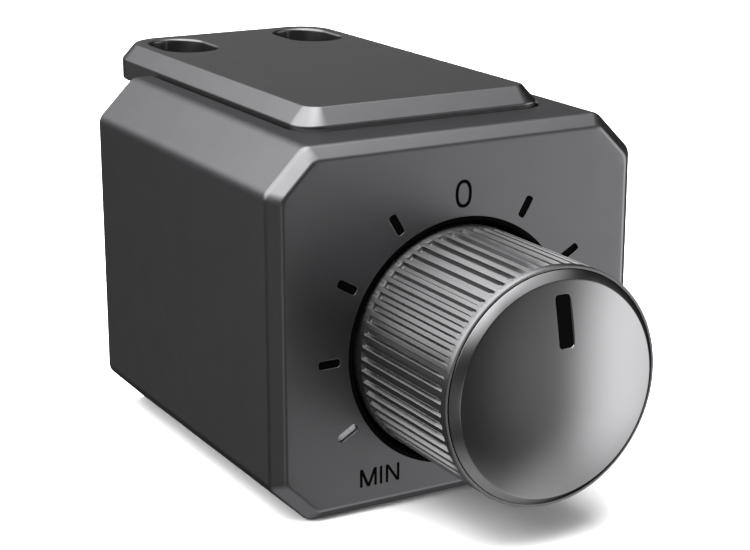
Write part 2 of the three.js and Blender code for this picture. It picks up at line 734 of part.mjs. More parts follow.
function potWafer() {
  const half = POT_WIDTH / 2;
  const [before, behind] = [POT_REAR - PAST, WAFER_REAR + PAST];
  const sheet = box([-half, POT_REAR, -TERMINAL_DROP - WAFER_TAIL], [half, WAFER_REAR, half]);
  const holes = TERMINAL_X.map((x) => terminalBox(x, RUNNING_GAP, before, behind));
  return cut(sheet, [rod(WAFER_HOLE, before, behind), ...holes]);
}

const potTerminal = (x) => terminalBox(x, 0, TERMINAL_FRONT, BOARD_REAR);

// ---------------------------------------------------------------- push switch, on the knob axis

function switchPlunger() {
  const head = rod(PLUNGER_RADIUS, PLUNGER_FRONT, PLUNGER_FRONT + PLUNGER_HEAD);
  return head.add(rod(STEM_RADIUS, PLUNGER_FRONT + PLUNGER_HEAD / 2, STEM_REAR));
}

function switchCase() {
  const half = SWITCH_SIDE / 2;
  const block = box([-half, SWITCH_FRONT, -half], [half, BOARD_FRONT, half]);
  const springBore = rod(SPRING_BORE, SWITCH_FRONT - PAST, SWITCH_SEAT);
  const stemEnd = STEM_REAR + PUSH_TRAVEL + STEM_ROOM;
  const stemBore = rod(STEM_RADIUS + CLEAR, SWITCH_SEAT - PAST, stemEnd);
  return cut(block, [springBore, stemBore]);
}

function returnSpring() {
  const start = PLUNGER_FRONT + PLUNGER_HEAD + SPRING_WIRE + TOUCH;
  const end = SWITCH_SEAT - SPRING_WIRE - TOUCH;
  class Helix extends THREE.Curve {
    getPoint(t) {
      const angle = 2 * Math.PI * SPRING_COILS * t;
      const [x, z] = [SPRING_RADIUS * Math.cos(angle), SPRING_RADIUS * Math.sin(angle)];
      return new THREE.Vector3(x, start + (end - start) * t, z);
    }
  }
  const wire = new THREE.Shape();
  wire.absarc(0, 0, SPRING_WIRE, 0, 2 * Math.PI, false);
  const options = { steps: 12 * SPRING_COILS, curveSegments: 3, extrudePath: new Helix() };
  return solidOf(new THREE.ExtrudeGeometry(wire, options));
}

// ---------------------------------------------------------------- circuit board and its pieces

function socketBlock(grow, y0, y1) {
  const halfX = SOCKET_WIDTH / 2 + grow;
  const halfZ = SOCKET_HEIGHT / 2 + grow;
  return box([-halfX, y0, SOCKET_Z - halfZ], [halfX, y1, SOCKET_Z + halfZ]);
}

function pinBox(x, clearance, y0, y1) {
  const half = PIN_HALF + clearance;
  return box([x - half, y0, SOCKET_Z - half], [x + half, y1, SOCKET_Z + half]);
}

function connectorSocket() {
  const floor = BOARD_REAR + SOCKET_FLOOR;
  const behind = SOCKET_REAR + PAST;
  const block = socketBlock(0, BOARD_REAR, SOCKET_REAR);
  const mouth = socketBlock(-SOCKET_WALL, floor, behind);
  const keyway = box([-KEYWAY_HALF, floor, SOCKET_Z], [KEYWAY_HALF, behind, SOCKET_Z + KEYWAY_RISE]);
  const holes = PIN_X.map((x) => pinBox(x, RUNNING_GAP, BOARD_REAR - PAST, floor + PAST));
  return cut(block, [mouth, keyway, ...holes]);
}

const connectorPin = (x) => pinBox(x, 0, BOARD_FRONT - PIN_TAIL, SOCKET_REAR - PIN_SUNK);

function mainBoard() {
  const [low, high] = BOARD_Z;
  const slab = box([-BOARD_HALF, BOARD_FRONT, low], [BOARD_HALF, BOARD_REAR, high]);
  const [before, behind] = [BOARD_FRONT - PAST, BOARD_REAR + PAST];
  const holes = [];
  for (const side of [-1, 1]) {
    for (const z of POST_Z) {
      holes.push(rod(BOARD_SCREW.clear, before, behind, side * POST_X, z, COARSE));
    }
  }
  for (const x of PIN_X) holes.push(pinBox(x, RUNNING_GAP, before, behind));
  for (const x of TERMINAL_X) {
    holes.push(terminalBox(x, RUNNING_GAP, before, behind).translate([0, 0, KNOB_Z]));
  }
  return cut(slab, holes);
}

// A block of the given place and size across, from plane y0 to plane y1.
function chip({ x, z, width, height }, y0, y1) {
  return box([x - width / 2, y0, z - height / 2], [x + width / 2, y1, z + height / 2]);
}

const frontChip = (spec) => chip(spec, BOARD_FRONT - spec.rise, BOARD_FRONT);

// An aluminium can with a pinched ring near the board and a rounded end.
function capacitor({ radius, length }) {
  const round = 0.3;
  const pinch = [1, 1.4, 1.8].map((rise) => BOARD_REAR + rise);
  const end = BOARD_REAR + length;
  return turned(
    [
      [0, BOARD_REAR],
      [radius, BOARD_REAR],
      [radius, pinch[0]],
      [radius - round, pinch[1]],
      [radius, pinch[2]],
      [radius, end - round],
      [radius - round, end],
      [0, end],
    ],
    MEDIUM,
  );
}

// A body with a thinner cooling tab above it.
function powerTransistor() {
  const body = chip(TRANSISTOR, BOARD_REAR, BOARD_REAR + TRANSISTOR.rise);
  const tabTop = chip(TRANSISTOR_TAB, BOARD_REAR + TRANSISTOR_TAB.rise, BOARD_REAR + TRANSISTOR.rise + PAST);
  return body.subtract(tabTop);
}

function flybackDiode() {
  const { x, z, radius, length, lift } = DIODE;
  const barrel = new THREE.CylinderGeometry(radius, radius, length, MEDIUM).rotateZ(Math.PI / 2);
  return solidOf(barrel.translate(x, BOARD_REAR + radius + lift, z));
}

// ---------------------------------------------------------------- assembly

function piece(name, solid, material) {
  const mesh = new THREE.Mesh(geometryOf(solid), material);
  mesh.name = name;
  return mesh;
}

const unit = new THREE.Group();
const controller = new THREE.Group();
controller.position.y = -DEPTH / 2;
unit.add(controller);
const onKnobAxis = new THREE.Group();
onKnobAxis.position.z = KNOB_Z;
controller.add(onKnobAxis);

controller.add(
  piece("housing", housing(), GUNMETAL),
  piece("rear_cover", rearCover(), GREY_PLASTIC),
  piece("rear_gasket", rearGasket(), RUBBER),
  piece("mounting_plate", mountingPlate(), GUNMETAL),
);

onKnobAxis.add(
  piece("well_liner", wellLiner(), BLACK_PLASTIC),
  piece("knob_skirt", knobSkirt(), SATIN_METAL),
  piece("knob_cap", knobCap(), SATIN_METAL),
  piece("pointer_inlay", pointerInlay(), BLACK_PLASTIC),
  piece("shaft_clip", shaftClip(), STEEL),
  piece("knob_shaft", knobShaft(), STEEL),
  piece("retaining_ring", retainingRing(), STEEL),
  piece("pot_bushing", potBushing(), BRASS),
  piece("bushing_nut", bushingNut(), BRASS),
  piece("lock_washer", lockWasher(), STEEL),
  piece("pot_case", potCase(), STEEL),
  piece("pot_wafer", potWafer(), PHENOLIC),
  piece("wiper_rotor", wiperRotor(), BLACK_PLASTIC),
  piece("wiper_contact", wiperContact(), BRASS),
  piece("switch_case", switchCase(), BLACK_PLASTIC),
  piece("switch_plunger", switchPlunger(), GREY_PLASTIC),
  piece("return_spring", returnSpring(), STEEL),
);
TERMINAL_X.forEach((x, i) => {
  onKnobAxis.add(piece(`pot_terminal_${i + 1}`, potTerminal(x), BRASS));
});

MARK_ANGLES.forEach((angle, i) => {
  const inlay = mark(angle, 0, MARK_SUNK, MARK_DEPTH);
  controller.add(piece(`dial_mark_${i + 1}`, inlay, BLACK_PLASTIC));
});
controller.add(
  piece("status_light_pipe", mark(STATUS_ANGLE, 0, STATUS_SUNK, STATUS_REAR), PALE_LENS),
  piece("status_led", frontChip(STATUS_LED), PALE_LENS),
  piece("main_board", mainBoard(), BOARD_GREEN),
  piece("connector_socket", connectorSocket(), BLACK_PLASTIC),
  piece("mcu_chip", frontChip(MCU), BLACK_PLASTIC),
  piece("accelerometer_chip", frontChip(ACCELEROMETER), GREY_PLASTIC),
  piece("power_transistor", powerTransistor(), BLACK_PLASTIC),
  piece("flyback_diode", flybackDiode(), BLACK_PLASTIC),
);
PIN_X.forEach((x, i) => {
  controller.add(piece(`connector_pin_${i + 1}`, connectorPin(x), BRASS));
});

for (const [name, spec] of Object.entries(CAPACITORS)) {
  const can = piece(name, capacitor(spec), CAN_ALUMINIUM);
  can.position.set(spec.x, 0, spec.z);
  controller.add(can);
}

let screwNumber = 0;
for (const side of [-1, 1]) {
  for (let row = 0; row < 2; row++) {
    screwNumber += 1;
    const cover = piece(`cover_screw_${screwNumber}`, screw(COVER_SCREW), STEEL);
    cover.position.set(side * BOSS_X, COVER_FRONT + COVER_SINK, BOSS_Z[row]);
    cover.rotation.z = Math.PI;
    const board = piece(`board_screw_${screwNumber}`, screw(BOARD_SCREW), STEEL);
    board.position.set(side * POST_X, BOARD_REAR, POST_Z[row]);
    board.rotation.z = Math.PI;
    const plate = piece(`plate_screw_${screwNumber}`, screw(PLATE_SCREW), STEEL);
    plate.position.set(side * PLATE_SCREW_X, PLATE_SCREW_Y[row], CAVITY_TOP);
    plate.rotation.x = Math.PI / 2;
    controller.add(cover, board, plate);
  }
}

export default unit;
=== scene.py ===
# Looks of the brake controller unit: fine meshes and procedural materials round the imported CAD
# frame, a pale floor, soft studio light and the camera.
# Sizes are in millimetres unless a name says otherwise. Pieces are drawn with the housing's front
# face at y = 0 and its underside at z = 0, as in the CAD source, and then moved into the frame.
import math

import bmesh
import bpy
from mathutils import Matrix, Vector


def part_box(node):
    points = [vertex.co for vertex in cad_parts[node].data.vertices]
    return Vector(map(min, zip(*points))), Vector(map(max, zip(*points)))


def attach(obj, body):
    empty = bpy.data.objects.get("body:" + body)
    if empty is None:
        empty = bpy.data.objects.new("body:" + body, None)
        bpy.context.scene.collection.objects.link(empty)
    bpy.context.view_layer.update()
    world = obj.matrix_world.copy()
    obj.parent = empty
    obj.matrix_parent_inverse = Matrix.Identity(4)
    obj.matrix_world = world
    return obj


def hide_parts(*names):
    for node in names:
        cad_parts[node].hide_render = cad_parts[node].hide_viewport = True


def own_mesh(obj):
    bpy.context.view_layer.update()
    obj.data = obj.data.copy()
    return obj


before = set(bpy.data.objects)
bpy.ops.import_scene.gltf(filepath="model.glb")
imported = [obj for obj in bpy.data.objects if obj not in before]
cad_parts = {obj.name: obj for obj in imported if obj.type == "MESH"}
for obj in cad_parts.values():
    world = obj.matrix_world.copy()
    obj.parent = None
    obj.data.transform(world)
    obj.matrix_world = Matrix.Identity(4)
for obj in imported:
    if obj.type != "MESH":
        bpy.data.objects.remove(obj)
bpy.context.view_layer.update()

MM = 0.001

# ------------------------------------------------------------------ sizes read from the frame


def cad_box(node):
    low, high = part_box(node)
    return low / MM, high / MM


HOUSING_LOW, HOUSING_HIGH = cad_box("housing")
WIDTH = HOUSING_HIGH.x - HOUSING_LOW.x
DEPTH = HOUSING_HIGH.y - HOUSING_LOW.y
HEIGHT = HOUSING_HIGH.z
FRONT_FACE = HOUSING_LOW.y
BODY_ORIGIN = Vector((0, FRONT_FACE, 0))


def span(node, axis, about=0.0):
    """A CAD node's lowest and highest coordinate on an axis, measured from `about`."""
    low, high = cad_box(node)
    return low[axis] - about, high[axis] - about


SKIRT_LOW, SKIRT_HIGH = cad_box("knob_skirt")
KNOB_Z = (SKIRT_LOW.z + SKIRT_HIGH.z) / 2
KNOB_ORIGIN = Vector((0, FRONT_FACE, KNOB_Z))
SKIRT_RADIUS = (SKIRT_HIGH.x - SKIRT_LOW.x) / 2
SKIRT_FRONT, SKIRT_REAR = span("knob_skirt", 1, FRONT_FACE)
CAP_APEX, CAP_SEAT = span("knob_cap", 1, FRONT_FACE)
CAP_RADIUS = span("knob_cap", 0)[1]
POINTER_HALF = span("pointer_inlay", 0)[1]
POINTER_SHIFT = 0.2  # how far the pointer lies further out than in the CAD
POINTER_INNER, POINTER_OUTER = span("pointer_inlay", 2, KNOB_Z - POINTER_SHIFT)
POINTER_FLOOR = span("pointer_inlay", 1, FRONT_FACE)[1]
LINER_RADIUS = span("well_liner", 0)[1]
WELL_DEPTH = span("well_liner", 1, FRONT_FACE)[1]
PLATE_HALF = span("mounting_plate", 0)[1]
PLATE_FRONT, PLATE_REAR = span("mounting_plate", 1, FRONT_FACE)
PLATE_BOTTOM, PLATE_TOP = span("mounting_plate", 2)
COVER_FRONT = span("rear_cover", 1, FRONT_FACE)[0]
COVER_HALF = span("rear_cover", 0)[1]
COVER_HIGH = span("rear_cover", 2)[1]
GASKET_FRONT = span("rear_gasket", 1, FRONT_FACE)[0]
BOARD_FRONT = span("main_board", 1, FRONT_FACE)[0]
SOCKET_HALF_X = span("connector_socket", 0)[1]
SOCKET_FRONT, SOCKET_REAR = span("connector_socket", 1, FRONT_FACE)
SOCKET_LOW_Z, SOCKET_HIGH_Z = span("connector_socket", 2)
SOCKET_Z = (SOCKET_LOW_Z + SOCKET_HIGH_Z) / 2
SOCKET_HALF_Z = (SOCKET_HIGH_Z - SOCKET_LOW_Z) / 2
SPRING_FRONT, SPRING_REAR = span("return_spring", 1, FRONT_FACE)
SPRING_OUTSIDE = span("return_spring", 0)[1]

# ------------------------------------------------------------------ sizes of the fine shape

PAST = 1  # how far a cutter reaches past the face that it opens
MOUTH = -0.5  # where the cutters of the front face start

WALL = 2
CHAMFER = 4
RIM_BEVEL = 1.2
REAR_BEVEL = 0.3
EDGE_ROUND = 1.5  # soft round between a chamfer and a side
CAVITY_TOP = 32.2
COVER_TOP = 33
COVER_INSET = 0.9
PLATE_EDGE = 36.4  # top of the plate's upright side
PLATE_BEVEL = 1.4
PLATE_FRONT_RADIUS = 2.8
PLATE_REAR_RADIUS = 5.4
PLATE_GAP = 0.3
SLOT_X = 7.7
SLOT_Y = 46
SLOT_RADIUS = 3.05
SLOT_STRAIGHT = 3.5
# A slot's mouth: growth and depth below the plate's top.
SLOT_MOUTH = ((0.25, -PAST), (0.25, 0.0), (0.1, 0.1), (0.0, 0.3))

RIB_COUNT = 60
POCKET_WIDTH = 0.66
POCKET_DEPTH = 0.4
POCKET_REAR = -0.6
POCKET_FRONT = -14.6
# A pocket's side and end walls: distance inside its edge and share of its depth, from the rib to
# the floor.
POCKET_STEPS = ((-0.06, 0.0), (-0.03, 0.06), (0.11, 0.92), (0.15, 1.0))
END_STEPS = ((-0.04, 0.0), (-0.01, 0.06), (0.03, 0.92), (0.07, 1.0))
SKIRT_WALL = 1.3
HUB_RADIUS = 5
HUB_REAR = -2
SHAFT_RADIUS = 3
SHAFT_FRONT = -12
SHAFT_FLAT = 1.5  # distance of the D flat from the axis
SHAFT_PLAY = 0.06
CLIP_HALF = 1.7
CLIP_FRONT = -10
CLIP_LOW = SHAFT_FLAT - 0.5
CLIP_HIGH = SHAFT_FLAT + 0.66
CAP_FACE_RADIUS = 10.1
CAP_EDGE = -15.4
CAP_FACE = -16.05
DOME_HEIGHT = CAP_FACE - CAP_APEX
DOME_RADIUS = (CAP_FACE_RADIUS**2 + DOME_HEIGHT**2) / (2 * DOME_HEIGHT)
DOME_STEPS = 36
CAP_RIM = 0.3  # width of the soft rim round the dome
POINTER_CORNER = 0.32
# Growth and depth below the dome of the pointer's pocket and of the bar in it.
POINTER_POCKET = ((0.12, -0.6), (0.12, -0.02), (0.07, 0.015), (0.03, 0.05), (0.0, 0.12))
POINTER_BAR = ((-0.06, 0.06), (-0.01, 0.1))

MARK_ANGLES = (-90, -60, -30, 30, 60, 90, 120)  # degrees clockwise from 12 o'clock
STATUS_ANGLE = -120
MARK_INNER = 13.1
MARK_OUTER = 15.28
MARK_WIDTH = 0.82
MARK_CORNER = 0.28
MARK_SUNK = 0.1
STATUS_CORNER = 0.3
STATUS_SUNK = 0.4
MARK_DEPTH = 0.8
MARK_EDGE = 0.04  # bevel round a mark's own face
MOUTH_LIP = 0.05  # round of the edges of the openings in the front face

LEGEND_PIECES = {"0": "legend_zero", "MIN": "legend_min", "MAX": "legend_max"}
LEGEND_SUNK = 0.05
LEGEND_DEPTH = 0.25
FLOOR_GAP = 0.01  # between an inlay and the floor of its pocket
STROKE = 0.28
ZERO_STROKE = 0.34
ZERO_X = 0.1
ZERO_Z = 30
ZERO_WIDTH = 1.8
ZERO_HEIGHT = 2.7
OVAL_POINTS = 48
OVAL_POWER = 2.35  # 2 is an ellipse, more is squarer
LETTER_HEIGHT = 1.8
LEGENDS = {  # letters with their gap from the legend's left end and their width
    "MIN": [("M", 0.12, 1.83), ("I", 2.27, STROKE), ("N", 2.92, 1.5)],
    "MAX": [("M", 0.0, 1.65), ("A", 1.95, 1.45), ("X", 3.55, 1.3)],
}
LEGEND_LEFT = {"MIN": -11.15, "MAX": 6.45}
LEGEND_FOOT = 2.75

WELL_WALL = 1.5
WELL_PLAY = 0.02
WELL_LIP = 0.04  # how far the black cup's lip lies behind the front face
LINER = 0.5  # thickness of the black cup
BUSHING_HOLE = 3.6
POT_FRONT = 5.8
POST_X = 11  # the four posts that carry the board
POST_Z = (5.6, 27.2)
POST_RADIUS = 1.9
POST_FOOT_RADIUS = 2.4
POST_PILOT = 1
POST_PILOT_DEPTH = 5
BOSS_X = 16  # the four bosses that the rear cover is screwed to
BOSS_Z = (6, 28)
BOSS_FRONT = 30
BOSS_RADIUS = 2.1
BOSS_PILOT = 1.25
PLATE_SCREW_X = 8
PLATE_SCREW_Y = (14, 34)
PLATE_SCREW_CLEARANCE = 1.4
PLATE_PILOT = 1.3
PLATE_PILOT_DEPTH = 2.4

SOCKET_WALL = 1
SOCKET_FLOOR = 3
KEYWAY_HALF = 2
KEYWAY_RISE = 3.2
PIN_COUNT = 4
PIN_PLAY = 0.06
SCREW_SINK = 0.8  # how far a cover screw's seat lies behind the cover's front
SCREW_SINK_RADIUS = 2.25
SCREW_CLEARANCE = 1.4
SCREW_COUNT = 4  # of each kind
SCREW_SIZES = {  # height of the head and radius of the shank
    "cover_screw": (1.1, 1.2),
    "board_screw": (1.2, 0.95),
    "plate_screw": (1.4, 1.25),
}
THREAD_PITCH = 0.5
THREAD_DEPTH = 0.12
THREAD_START = 0.4  # plain shank between the head and the first groove
HEX_SHARE = 0.52  # radius of the hex socket's corners, as a share of the head's
SPRING_WIRE = 0.28
SPRING_COILS = 4

# ------------------------------------------------------------------ outlines


def rounded(corners, steps=6, closed=True):
    """Points of a path of (x, z, radius) corners, each turned into an arc of `steps` points."""
    points = []
    for i, (x, z, radius) in enumerate(corners):
        at = Vector((x, z))
        is_end = not closed and i in (0, len(corners) - 1)
        if radius == 0 or is_end:
            points.append(at)
            continue
        back = (Vector(corners[i - 1][:2]) - at).normalized()
        ahead = (Vector(corners[(i + 1) % len(corners)][:2]) - at).normalized()
        half = back.angle(ahead) / 2
        centre = at + (back + ahead).normalized() * (radius / math.sin(half))
        first = at + back * (radius / math.tan(half)) - centre
        last = at + ahead * (radius / math.tan(half)) - centre
        sweep = math.atan2(first.x * last.y - first.y * last.x, first.dot(last))
        for step in range(steps):
            points.append(centre + Matrix.Rotation(sweep * step / (steps - 1), 2) @ first)
    return points


def rectangle(low_x, low_z, high_x, high_z, radius, steps=6):
    corners = [(low_x, low_z), (high_x, low_z), (high_x, high_z), (low_x, high_z)]
    return rounded([(x, z, radius) for x, z in corners], steps)


def housing_outline(inset, top=None, rounding=EDGE_ROUND):
    """Front view of the housing, shrunk by `inset`: a rectangle with its corners cut."""
    top = HEIGHT - inset if top is None else top
    half = WIDTH / 2 - inset
    low = CHAMFER - inset * (2 - math.sqrt(2))
    high = max(top - (HEIGHT - inset) + low, 1)
    corners = [
        (-half + low, inset),
        (half - low, inset),
        (half, inset + low),
        (half, top - high),
        (half - high, top),
        (-half + high, top),
        (-half, top - high),
        (-half, inset + low),
    ]
    soft = min(rounding, 0.9 * high)
    return rounded([(x, z, soft) for x, z in corners], 7)


def plate_outline(grow):
    """Plan of the mounting plate, grown by `grow` all round; its second coordinate is y."""
    half = PLATE_HALF + grow
    front = (PLATE_FRONT - grow, PLATE_FRONT_RADIUS + grow)
    rear = (PLATE_REAR + grow, PLATE_REAR_RADIUS + grow)
    corners = [(-half, *front), (half, *front), (half, *rear), (-half, *rear)]
    return rounded(corners, 14)


def slot_outline(grow):
    """Plan of a mounting slot about its own centre."""
    half = SLOT_RADIUS + grow
    reach = half + SLOT_STRAIGHT / 2
    return rectangle(-half, -reach, half, reach, half * 0.9999, 20)


def circle(radius, x=0.0, z=0.0, points=48):
    angles = [2 * math.pi * i / points for i in range(points)]
    return [Vector((x + radius * math.sin(a), z + radius * math.cos(a))) for a in angles]


# ------------------------------------------------------------------ mesh building


def at_y(outline, y):
    return [Vector((p.x, y, p.y)) for p in outline]


def at_z(outline, z):
    return [Vector((p.x, p.y, z)) for p in outline]


def fill(mesh, loops):
    """Closes flat loops of vertices by triangles; inner loops become holes."""
    edges = []
    for loop in loops:
        for i, vertex in enumerate(loop):
            pair = (loop[i - 1], vertex)
            edges.append(mesh.edges.get(pair) or mesh.edges.new(pair))
    bmesh.ops.triangle_fill(mesh, use_beauty=True, edges=edges)


def loft(mesh, rings, ends=True):
    """A skin through rings of equally many points, closed at both ends."""
    made = [[mesh.verts.new(point) for point in ring] for ring in rings]
    for near, far in zip(made, made[1:]):
        for i in range(len(near)):
            mesh.faces.new((near[i - 1], near[i], far[i], far[i - 1]))
    if ends:
        fill(mesh, [made[0]])
        fill(mesh, [made[-1]])
    return made


def turn(mesh, profile, angles=72, radius_at=None, centre=(0, 0)):
    """A body turned about Y through (radius, y) points. Where the profile doesn't start on the
    axis it closes on itself. `radius_at` may change a point's radius by its angle."""
    if isinstance(angles, int):
        angles = [2 * math.pi * i / angles for i in range(angles)]
    rings = []
    for radius, y in profile:
        if radius == 0:
            rings.append([mesh.verts.new((centre[0], y, centre[1]))] * len(angles))
            continue
        ring = []
        for angle in angles:
            r = radius_at(radius, y, angle) if radius_at else radius
            place = (centre[0] + r * math.sin(angle), y, centre[1] + r * math.cos(angle))
            ring.append(mesh.verts.new(place))
        rings.append(ring)
    if profile[0][0] > 0:
        rings.append(rings[0])
    for near, far in zip(rings, rings[1:]):
        for i in range(len(angles)):
            corners = [near[i - 1], near[i], far[i], far[i - 1]]
            face = [v for k, v in enumerate(corners) if v is not corners[k - 1]]
            if len(face) > 2:
                mesh.faces.new(face)


def prism(mesh, loops, y0, y1):
    """A flat shape in the front view, given by its outer and inner loops, from y0 to y1."""
    for y in (y0, y1):
        fill(mesh, [[mesh.verts.new(point) for point in at_y(loop, y)] for loop in loops])
    mesh.verts.ensure_lookup_table()
    total = sum(len(loop) for loop in loops)
    start = len(mesh.verts) - 2 * total
    for loop in loops:
        for i in range(len(loop)):
            a = start + i
            b = start + (i + 1) % len(loop)
            corners = [mesh.verts[k] for k in (a, b, b + total, a + total)]
            mesh.faces.new(corners)
        start += len(loop)


def rotate_about_knob(mesh, vertices, degrees):
    turned = Matrix.Rotation(math.radians(degrees), 4, "Y")
    axis = Matrix.Translation((0, 0, KNOB_Z))
    bmesh.ops.transform(mesh, matrix=axis @ turned @ axis.inverted(), verts=vertices)


def temporary(mesh, name="tool"):
    """A plain object from a bmesh in millimetres, facing outwards."""
    bmesh.ops.remove_doubles(mesh, verts=mesh.verts, dist=1e-4)
    bmesh.ops.recalc_face_normals(mesh, faces=mesh.faces)
    data = bpy.data.meshes.new(name)
    mesh.to_mesh(data)
    mesh.free()
    made = bpy.data.objects.new(name, data)
    bpy.context.scene.collection.objects.link(made)
    return made


def skin(rings):
    mesh = bmesh.new()
    loft(mesh, rings)
    return temporary(mesh)


def spun(profile, angles, radius_at=None):
    mesh = bmesh.new()
    turn(mesh, profile, angles, radius_at)
    return temporary(mesh)


def bar(outline, y0, y1):
    mesh = bmesh.new()
    prism(mesh, [outline], y0, y1)
    return temporary(mesh)


def carve(target, tool, operation="DIFFERENCE", crossing=False):
    """Cuts the tool from the target, or joins it on, and throws the tool away. `crossing` says
    that the tool's own parts cross each other."""
    modifier = target.modifiers.new("carve", "BOOLEAN")
    modifier.object = tool
    modifier.operation = operation
    modifier.solver = "EXACT"
    modifier.use_self = crossing
    graph = bpy.context.evaluated_depsgraph_get()
    result = bpy.data.meshes.new_from_object(target.evaluated_get(graph))
    target.modifiers.clear()
    target.data = result
    bpy.data.objects.remove(tool)
    return target


def piece(name, shape, material, body, nodes=(), origin=BODY_ORIGIN, sharp=38):
    """Finishes a shape as a shown piece: moves it into the frame, sets its shading and material,
    and makes it stand for its CAD nodes."""
    shape.name = name
    shape.data.name = name
    shape.data.transform(Matrix.Scale(MM, 4) @ Matrix.Translation(origin))
    shape.data.materials.clear()
    shape.data.materials.append(material)
    shape.data.shade_smooth()
    shape.data.set_sharp_from_angle(angle=math.radians(sharp))
    weighted = shape.modifiers.new("weighted_normals", "WEIGHTED_NORMAL")
    weighted.keep_sharp = True
    weighted.weight = 90
    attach(shape, body)
    if nodes:
        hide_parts(*nodes)


# ------------------------------------------------------------------ materials


EDGE_HIGHLIGHT_GROWTH = 4.0  # how fast the painted edge highlight grows with the bend at an edge
EDGE_HIGHLIGHT_GAIN = 2.2  # how much lighter an edge is painted, as a highlight
EDGE_POLISH = 0.1  # how much smoother such an edge is
TRACK_PATCH = 3.2  # side of a patch of parallel tracks on the board
TRACK_PITCH = 0.8
TRACK_COLOUR = (0.04, 0.2, 0.07, 1)
FIBRE_COLOUR = (0.3, 0.16, 0.07, 1)


class Nodes:
    """Short calls for wiring a node tree."""

    def __init__(self, tree):
        self.tree = tree
        tree.nodes.clear()

    def add(self, kind, inputs=None, **settings):
        node = self.tree.nodes.new("ShaderNode" + kind)
        for key, value in settings.items():
            setattr(node, key, value)
        for key, value in (inputs or {}).items():
            if isinstance(value, bpy.types.NodeSocket):
                self.tree.links.new(value, node.inputs[key])
            else:
                node.inputs[key].default_value = value
        return node

    def math(self, operation, a, b=0.0, c=0.0):
        return self.add("Math", {0: a, 1: b, 2: c}, operation=operation).outputs[0]

    def spread(self, value, low, high):
        """Maps 0..1 to low..high."""
        return self.add("MapRange", {"Value": value, "To Min": low, "To Max": high}).outputs[0]

    def noise(self, place, size_mm, detail=2.0, rough=0.5):
        inputs = {"Vector": place, "Scale": 1 / (size_mm * MM), "Detail": detail, "Roughness": rough}
        return self.add("TexNoise", inputs).outputs[0]


def mixed(nodes, share, a, b):
    made = nodes.add("Mix", {"Factor": share}, data_type="RGBA")
    for key, value in ((6, a), (7, b)):
        if isinstance(value, bpy.types.NodeSocket):
            nodes.tree.links.new(value, made.inputs[key])
        else:
            made.inputs[key].default_value = value
    return made.outputs[2]


def rgb(value, tint=(1, 1, 1)):
    return (value * tint[0], value * tint[1], value * tint[2], 1)


def axis_distance(nodes, place):
    """Distance of a point from the knob's axis."""
    split = nodes.add("SeparateXYZ", {0: place}).outputs
    height = nodes.math("SUBTRACT", split[2], KNOB_Z * MM)
    across_squared = nodes.math("POWER", split[0], 2.0)
    height_squared = nodes.math("POWER", height, 2.0)
    return nodes.math("SQRT", nodes.math("ADD", across_squared, height_squared))


def painted_edge_highlight(nodes, patches, edge_highlight, radius_mm):
    """How strongly a point is lightened as a painted edge highlight: strong and patchy on edges,
    nothing on flats, at most the given limit.
    """
    soft_normal = nodes.add("Bevel", {"Radius": radius_mm * MM}, samples=4).outputs[0]
    true_normal = nodes.add("NewGeometry").outputs["Normal"]
    inputs = {0: soft_normal, 1: true_normal}
    dots = nodes.add("VectorMath", inputs, operation="DOT_PRODUCT").outputs["Value"]
    edge = nodes.math("MULTIPLY", nodes.math("SUBTRACT", 1.0, dots), EDGE_HIGHLIGHT_GROWTH)
    patchy = nodes.math("MULTIPLY", edge, nodes.spread(patches, 0.3, 1.2))
    return nodes.add("Clamp", {"Value": patchy, "Max": edge_highlight}).outputs[0]


def shaded(colour, factor):
    return tuple(min(1.0, c * factor) for c in colour[:3]) + (1,)


